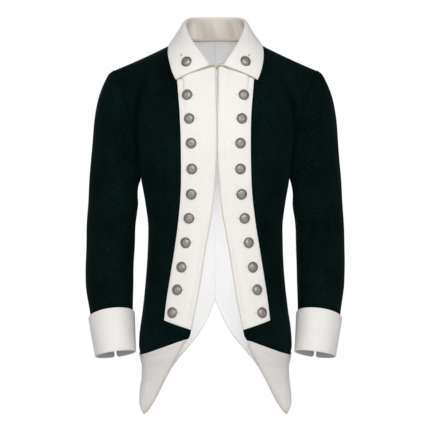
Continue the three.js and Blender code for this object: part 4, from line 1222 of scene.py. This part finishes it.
def add_buttonholes(lapel, word, side):
    """Works a buttonhole behind each button: its inner end shows past the button's rim."""
    bars = []
    for number, row in enumerate(LAPEL_BUTTONS, 1):
        x = row["x"] + side * lean_at(row["z"])
        ends = [(side * (x + shift), row["z"] + lift) for shift, lift in BUTTONHOLE["ends"]]
        bars.append(worked_bar(f"buttonhole_{word}_{number:02d}", lapel, *ends, BUTTONHOLE["width"]))
    join_thread(bars, f"buttonholes_{word}", "Buttonhole thread")


def join_thread(bars, name, finish):
    bpy.ops.object.select_all(action="DESELECT")
    for bar in bars:
        bar.data.materials.append(finish_of(finish))
        bar.select_set(True)
    bpy.context.view_layer.objects.active = bars[0]
    bpy.ops.object.join()
    bars[0].name = name
    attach(bars[0], "root")


class COAT_OT_sleeves(bpy.types.Operator):
    """Makes the two-piece sleeves, set in the armholes and bent a little forward at the elbow"""

    bl_idname = "coat.sleeves"
    bl_label = "Sleeves"

    def execute(self, context):
        thick = context.scene.coat_sizes.wool / MM
        arcs = {
            "sleeve_upper": (HIND_SEAM - 360 + SEAM_TURN, FORE_SEAM - SEAM_TURN),
            "sleeve_under": (FORE_SEAM + SEAM_TURN, HIND_SEAM - SEAM_TURN),
        }
        rings = ring_reader(SLEEVE_HEAD + SLEEVE)
        last = SLEEVE[-1]["at"]
        downwards = edged(rows_by_length([
            (SLEEVE_HEAD[0]["at"], 0, STEPS["sleeve_head"]), (0, last, STEPS["sleeve"])]))
        for word, side in SIDES:
            for kind, (start, end) in arcs.items():
                turns = edged(np.linspace(start, end, STEPS[kind]))
                turn, at = np.meshgrid(turns, downwards, indexing="ij")
                dent = sleeve_dent(at, turn, SLEEVE_FOLDS) + sleeve_dent(at, turn, SLEEVE_CREASES[word])
                points = ring_point(side, rings, at, turn, dent)
                sew(kind, word, "Green wool", points, 0, thick, tube_hollow(side, rings, last / 2),
                    rim_cloth="wool",
                    relief=slack(points, 60, 0.7, 3.0 + side) * rise(at, 0, SLEEVE_EASE))
        return {"FINISHED"}


class COAT_OT_cuffs(bpy.types.Operator):
    """Makes the round turned-back cuffs, with a short slit at the back"""

    bl_idname = "coat.cuffs"
    bl_label = "Cuffs"

    def execute(self, context):
        thick = context.scene.coat_sizes.facing / MM
        height, half, corner = (CUFF_SLIT[key] for key in ("height", "half", "corner"))
        above, below = (1 - height / CUFF_LENGTH + shift for shift in (-0.02, 0.02))
        vs = edged(rows_by_length([
            (0, above, STEPS["cuff"]), (above, below, STEPS["slit_end"]), (below, 1, STEPS["slit"])]))
        for word, side in SIDES:
            u, v = np.meshgrid(edged(np.linspace(0, 1, STEPS["cuff_round"])), vs, indexing="ij")
            up = (1 - v) * CUFF_LENGTH
            rounded = corner - np.sqrt(np.maximum(0, corner**2 - np.maximum(0, corner - up) ** 2))
            gap = np.where(up < height, half + rounded, SEAM)
            opening = np.degrees(gap / CUFF_RINGS["deep"](v))
            points = ring_point(side, CUFF_RINGS, v, lerp(-90 + opening, 270 - opening, u))
            sew("cuff", word, "Cream wool", points, 0, thick, tube_hollow(side, CUFF_RINGS, 0.5),
                relief=slack(points, 40, 0.5, 5.0 + side))
        return {"FINISHED"}


def collar_relief(points, u, v):
    """Heights of the collar's creases and slack, and the creases of its stand alone."""
    creases = 0
    for place, wide, high in COLLAR_CREASES:
        creases = creases + high * hump(u + CREASE_SLANT * (v - COLLAR_ROW["stand"]) - place, wide)
    ripple = 0.4 * np.sin(u * 61 + 2 * np.sin(u * 23) + 9 * v)
    stand = np.exp(-(((v - COLLAR_ROW["stand"]) / STAND_REACH) ** 4))
    creases = (creases + ripple) * stand
    relief = creases * CREASE_HEIGHT - 0.5 * hump(v - COLLAR_ROW["groove"], 0.012)
    return relief + slack(points, 45, 0.5, 6.0) * rise(v, 0.5, 0.7) * rise(v, 1, 0.8), creases


class COAT_OT_collar(bpy.types.Operator):
    """Makes the collar: a stand round the neck and a fall turned down over it"""

    bl_idname = "coat.collar"
    bl_label = "Collar"

    def execute(self, context):
        thick = context.scene.coat_sizes.collar / MM
        us, vs = (edged(np.linspace(0, 1, STEPS[way])) for way in ("collar_round", "collar_over"))
        points = collar_surface(us, vs)
        u, v = np.meshgrid(us, vs, indexing="ij")
        relief, creases = collar_relief(points, u, v)
        # The stand's inner face gets painted shade, lighter and darker along its creases.
        inner = rise(v, COLLAR_ROW["crest"], COLLAR_ROW["crest"] - 0.02)
        inner = inner * np.clip(0.72 - 0.38 * creases, 0, 1)
        # Painted shade lines along the fold's crest and the stand's lower edge, and a painted shadow along
        # the fall's two front ends where they stand off the lapels.
        along = border_runs(points)[2]
        ends = hump(np.minimum(along, along[-1:] - along), COLLAR_END["wide"]) * rise(v, 0.4, 0.5)
        painted_shade_lines = 0.7 * hump(v - COLLAR_ROW["crest"], 0.008) + hump(v - COLLAR_ROW["hem"], 0.04) + 1.5 * ends
        piece = sew(
            "collar", "", "Cream wool", points, thick / 2, thick,
            lambda place: place * np.array((0.5, 0.5, 1)), held="folded", relief=relief,
            marks={"stand": inner, "seam": painted_shade_lines * 0.6})
        tacks = [
            worked_bar("collar_tack", piece, *[(side * x, z) for x, z in TACK["ends"]], TACK["width"])
            for _, side in SIDES
        ]
        join_thread(tacks, "collar_tacks", "Tack thread")
        return {"FINISHED"}


# ---------------------------------------------------------------- buttons, hook and eye
def model_button(context):
    """Turns up one button: a flat back, a rim, and a dome with sunk rings and a dot in the middle."""
    bpy.ops.object.select_all(action="DESELECT")
    bpy.ops.mesh.primitive_circle_add(vertices=BUTTON_SIDES, radius=BUTTON["back"] * MM, fill_type="NGON")
    button = context.object
    bpy.ops.object.mode_set(mode="EDIT")
    bpy.ops.mesh.select_mode(type="FACE")
    bpy.ops.mesh.select_all(action="SELECT")
    radius = BUTTON["back"]
    for wider, height in BUTTON_SIDE:
        bpy.ops.mesh.extrude_region_move(TRANSFORM_OT_translate={"value": (0, 0, height * MM)})
        bpy.ops.transform.resize(value=(wider / radius, wider / radius, 1))
        radius = wider
    height = sum(step for _, step in BUTTON_SIDE)
    for inner, level in BUTTON_FACE:
        bpy.ops.mesh.inset(thickness=(radius - inner) * MM, depth=(level - height) * MM)
        radius, height = inner, level
    bpy.ops.mesh.select_all(action="SELECT")
    bpy.ops.mesh.normals_make_consistent(inside=False)
    bpy.ops.object.mode_set(mode="OBJECT")
    bpy.ops.object.shade_smooth_by_angle(angle=math.radians(50))
    return button


BUTTON_SIDES = 40
SEAT_RINGS = ((0, 1), (0.5, 10), (1, 20))    # where a seat is felt for: share of the radius, and places
SEAT_ABOVE = 0.02
SEAT_REACH = 0.05
SEAT_GAP = SEAM / 3


def button_seat(node, cloth):
    """Where a button's back lies on its cloth, and the way it faces, from the solid in its place."""
    points = np.array([node.matrix_world @ vertex.co for vertex in node.data.vertices])
    middle = (points.min(0) + points.max(0)) / 2
    axis = np.linalg.svd(points - points.mean(0))[2][2]
    axis = axis if axis[1] < 0 else -axis
    side = unit(np.cross(axis, (0, 0, 1)))
    above = np.cross(axis, side)
    tree = BVHTree.FromObject(cloth, bpy.context.evaluated_depsgraph_get())
    start = middle + axis * SEAT_ABOVE
    reach = []
    for ring, count in SEAT_RINGS:
        for turn in np.linspace(0, 2 * math.pi, count, endpoint=False):
            away = (side * math.cos(turn) + above * math.sin(turn)) * ring * BUTTON["back"] * MM
            hit = tree.ray_cast(Vector(start + away), Vector(-axis), SEAT_REACH)
            reach += [hit[3]] if hit[0] else []
    if not reach:
        raise RuntimeError(f"{node.name}: no cloth under the button")
    return start - axis * (min(reach) - SEAT_GAP * MM), axis, above


class COAT_OT_buttons(bpy.types.Operator):
    """Models one domed, ringed pewter button, and sews a copy of it on in each button's place"""

    bl_idname = "coat.buttons"
    bl_label = "Buttons"

    def execute(self, context):
        pattern = model_button(context)
        pattern.data.materials.append(finish_of("Worn pewter"))
        for word, _ in SIDES:
            cloths = {f"button_collar_{word}": "collar_cloth"}
            cloths |= {f"button_lapel_{word}_{k:02d}": f"lapel_{word}_cloth" for k in range(1, 11)}
            for name, cloth in cloths.items():
                place, axis, above = button_seat(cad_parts[name], bpy.data.objects[cloth])
                bpy.ops.object.select_all(action="DESELECT")
                pattern.select_set(True)
                context.view_layer.objects.active = pattern
                bpy.ops.object.duplicate()
                button = context.object
                button.name = f"{name}_turned"
                turn = Matrix((np.cross(above, axis), above, axis)).transposed()
                button.matrix_world = Matrix.Translation(place) @ turn.to_4x4()
                bpy.ops.object.transform_apply(location=True, rotation=True, scale=True)
                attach(button, "root")
                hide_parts(name)
        bpy.data.objects.remove(pattern)
        return {"FINISHED"}


class COAT_OT_hook_and_eye(bpy.types.Operator):
    """Finishes the wire hook and eye at the top of the fronts"""

    bl_idname = "coat.hook_and_eye"
    bl_label = "Hook and eye"

    def execute(self, context):
        for name in ("hook", "eye"):
            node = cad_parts[name]
            node.data.materials.clear()
            node.data.materials.append(finish_of("Drawn wire"))
        return {"FINISHED"}


# ---------------------------------------------------------------- the stage
# The lamps inside and behind the coat are hidden from the camera, and light the lining and the edges.
LAMPS = table(
    "name place aim size power seen",
    ("front", (0.1, -2.9, 1.0), (0, 0, -0.35), 1.5, 48, True),
    ("left side", (-2.6, -3.0, 0.4), (0, 0, -0.4), 1.4, 23, True),
    ("right side", (2.6, -3.0, 0.4), (0, 0, -0.4), 1.4, 23, True),
    ("back", (-0.6, 3.0, 0.8), (0, 0, -0.4), 1.6, 45, False),
    ("inside top", (0, -0.02, -0.16), (0, 0.2, -0.02), 0.1, 0.08, False),
    ("inside middle", (0, -0.05, -0.33), (0, 0.2, -0.33), 0.14, 0.195, False),
    ("inside low", (0, -0.06, -0.54), (0, 0.2, -0.58), 0.24, 0.31, False),
)
CAMERA = {"place": (-0.0007, -12, -0.376), "distance": 12, "sensor": 36, "view": 0.946, "clip": 60}
FLOOR = {"size": 18, "z": -1.3, "tint": 0.8, "roughness": 0.9}
WORLD_LIGHT = 0.3


def soft_light(name, place, aim, size, power, seen):
    lamp = bpy.data.lights.new(name, "AREA")
    lamp.shape = "SQUARE"
    lamp.size = size
    lamp.energy = power
    light = bpy.data.objects.new(name, lamp)
    light.location = place
    light.rotation_euler = (Vector(aim) - Vector(place)).to_track_quat("-Z", "Y").to_euler()
    light.visible_camera = seen
    bpy.context.scene.collection.objects.link(light)


def white_to_camera(tree, shader, output):
    """Paper that the camera sees as plain white, whatever light falls on it."""
    seen = tree.nodes.new("ShaderNodeLightPath").outputs["Is Camera Ray"]
    glow = tree.nodes.new("ShaderNodeEmission" if shader.type != "BACKGROUND" else "ShaderNodeBackground")
    glow.inputs["Color"].default_value = (1, 1, 1, 1)
    glow.inputs["Strength"].default_value = 1.0
    mix = tree.nodes.new("ShaderNodeMixShader")
    tree.links.new(seen, mix.inputs[0])
    tree.links.new(shader.outputs[0], mix.inputs[1])
    tree.links.new(glow.outputs[0], mix.inputs[2])
    tree.links.new(mix.outputs[0], output.inputs["Surface"])


class COAT_OT_stage(bpy.types.Operator):
    """Makes the plain pale floor, the soft lights and the camera"""

    bl_idname = "coat.stage"
    bl_label = "Stage"

    def execute(self, context):
        scene = context.scene
        bpy.ops.mesh.primitive_plane_add(size=FLOOR["size"], location=(0, 0, FLOOR["z"]))
        floor = context.object
        floor.name = "floor"
        material = bpy.data.materials.new("Pale paper")
        material.use_nodes = True
        tree = material.node_tree
        shader = tree.nodes["Principled BSDF"]
        shader.inputs["Base Color"].default_value = (*[FLOOR["tint"]] * 3, 1)
        shader.inputs["Roughness"].default_value = FLOOR["roughness"]
        white_to_camera(tree, shader, tree.nodes["Material Output"])
        floor.data.materials.append(material)
        world = bpy.data.worlds.new("Studio")
        world.use_nodes = True
        tree = world.node_tree
        tree.nodes["Background"].inputs["Color"].default_value = (1, 1, 1, 1)
        tree.nodes["Background"].inputs["Strength"].default_value = WORLD_LIGHT
        white_to_camera(tree, tree.nodes["Background"], tree.nodes["World Output"])
        scene.world = world
        for lamp in LAMPS:
            soft_light(**lamp)
        scene.view_settings.view_transform = "Standard"
        lens = bpy.data.cameras.new("camera")
        lens.sensor_width = CAMERA["sensor"]
        lens.lens = CAMERA["sensor"] * CAMERA["distance"] / CAMERA["view"]
        lens.clip_end = CAMERA["clip"]
        camera = bpy.data.objects.new("camera", lens)
        camera.location = CAMERA["place"]
        camera.rotation_euler = (math.pi / 2, 0, 0)
        scene.collection.objects.link(camera)
        scene.camera = camera
        return {"FINISHED"}


class COAT_PT_panel(bpy.types.Panel):
    """Lists the coat's sizes, colours and pieces"""

    bl_idname = "COAT_PT_panel"
    bl_label = "Tailcoat"
    bl_space_type = "VIEW_3D"
    bl_region_type = "UI"
    bl_category = "Tailcoat"

    def draw(self, context):
        layout = self.layout
        for group in (context.scene.coat_sizes, context.scene.coat_colours):
            box = layout.box()
            for name in group.__annotations__:
                box.prop(group, name)
        for operator in OPERATORS:
            layout.operator(operator.bl_idname)


OPERATORS = (
    COAT_OT_stage, COAT_OT_fronts, COAT_OT_backs, COAT_OT_linings, COAT_OT_turnbacks, COAT_OT_lapels,
    COAT_OT_sleeves, COAT_OT_cuffs, COAT_OT_collar, COAT_OT_buttons, COAT_OT_hook_and_eye,
)
CLASSES = (CoatSizes, CoatColours, *OPERATORS, COAT_PT_panel)


def register():
    for cls in CLASSES:
        bpy.utils.register_class(cls)
    bpy.types.Scene.coat_sizes = bpy.props.PointerProperty(type=CoatSizes)
    bpy.types.Scene.coat_colours = bpy.props.PointerProperty(type=CoatColours)


def unregister():
    del bpy.types.Scene.coat_colours
    del bpy.types.Scene.coat_sizes
    for cls in reversed(CLASSES):
        bpy.utils.unregister_class(cls)


def main():
    register()
    bpy.ops.coat.stage()
    bpy.ops.coat.fronts()
    bpy.ops.coat.backs()
    bpy.ops.coat.linings()
    bpy.ops.coat.turnbacks()
    bpy.ops.coat.lapels()
    bpy.ops.coat.sleeves()
    bpy.ops.coat.cuffs()
    bpy.ops.coat.collar()
    bpy.ops.coat.buttons()
    bpy.ops.coat.hook_and_eye()


if __name__ == "__main__":
    main()
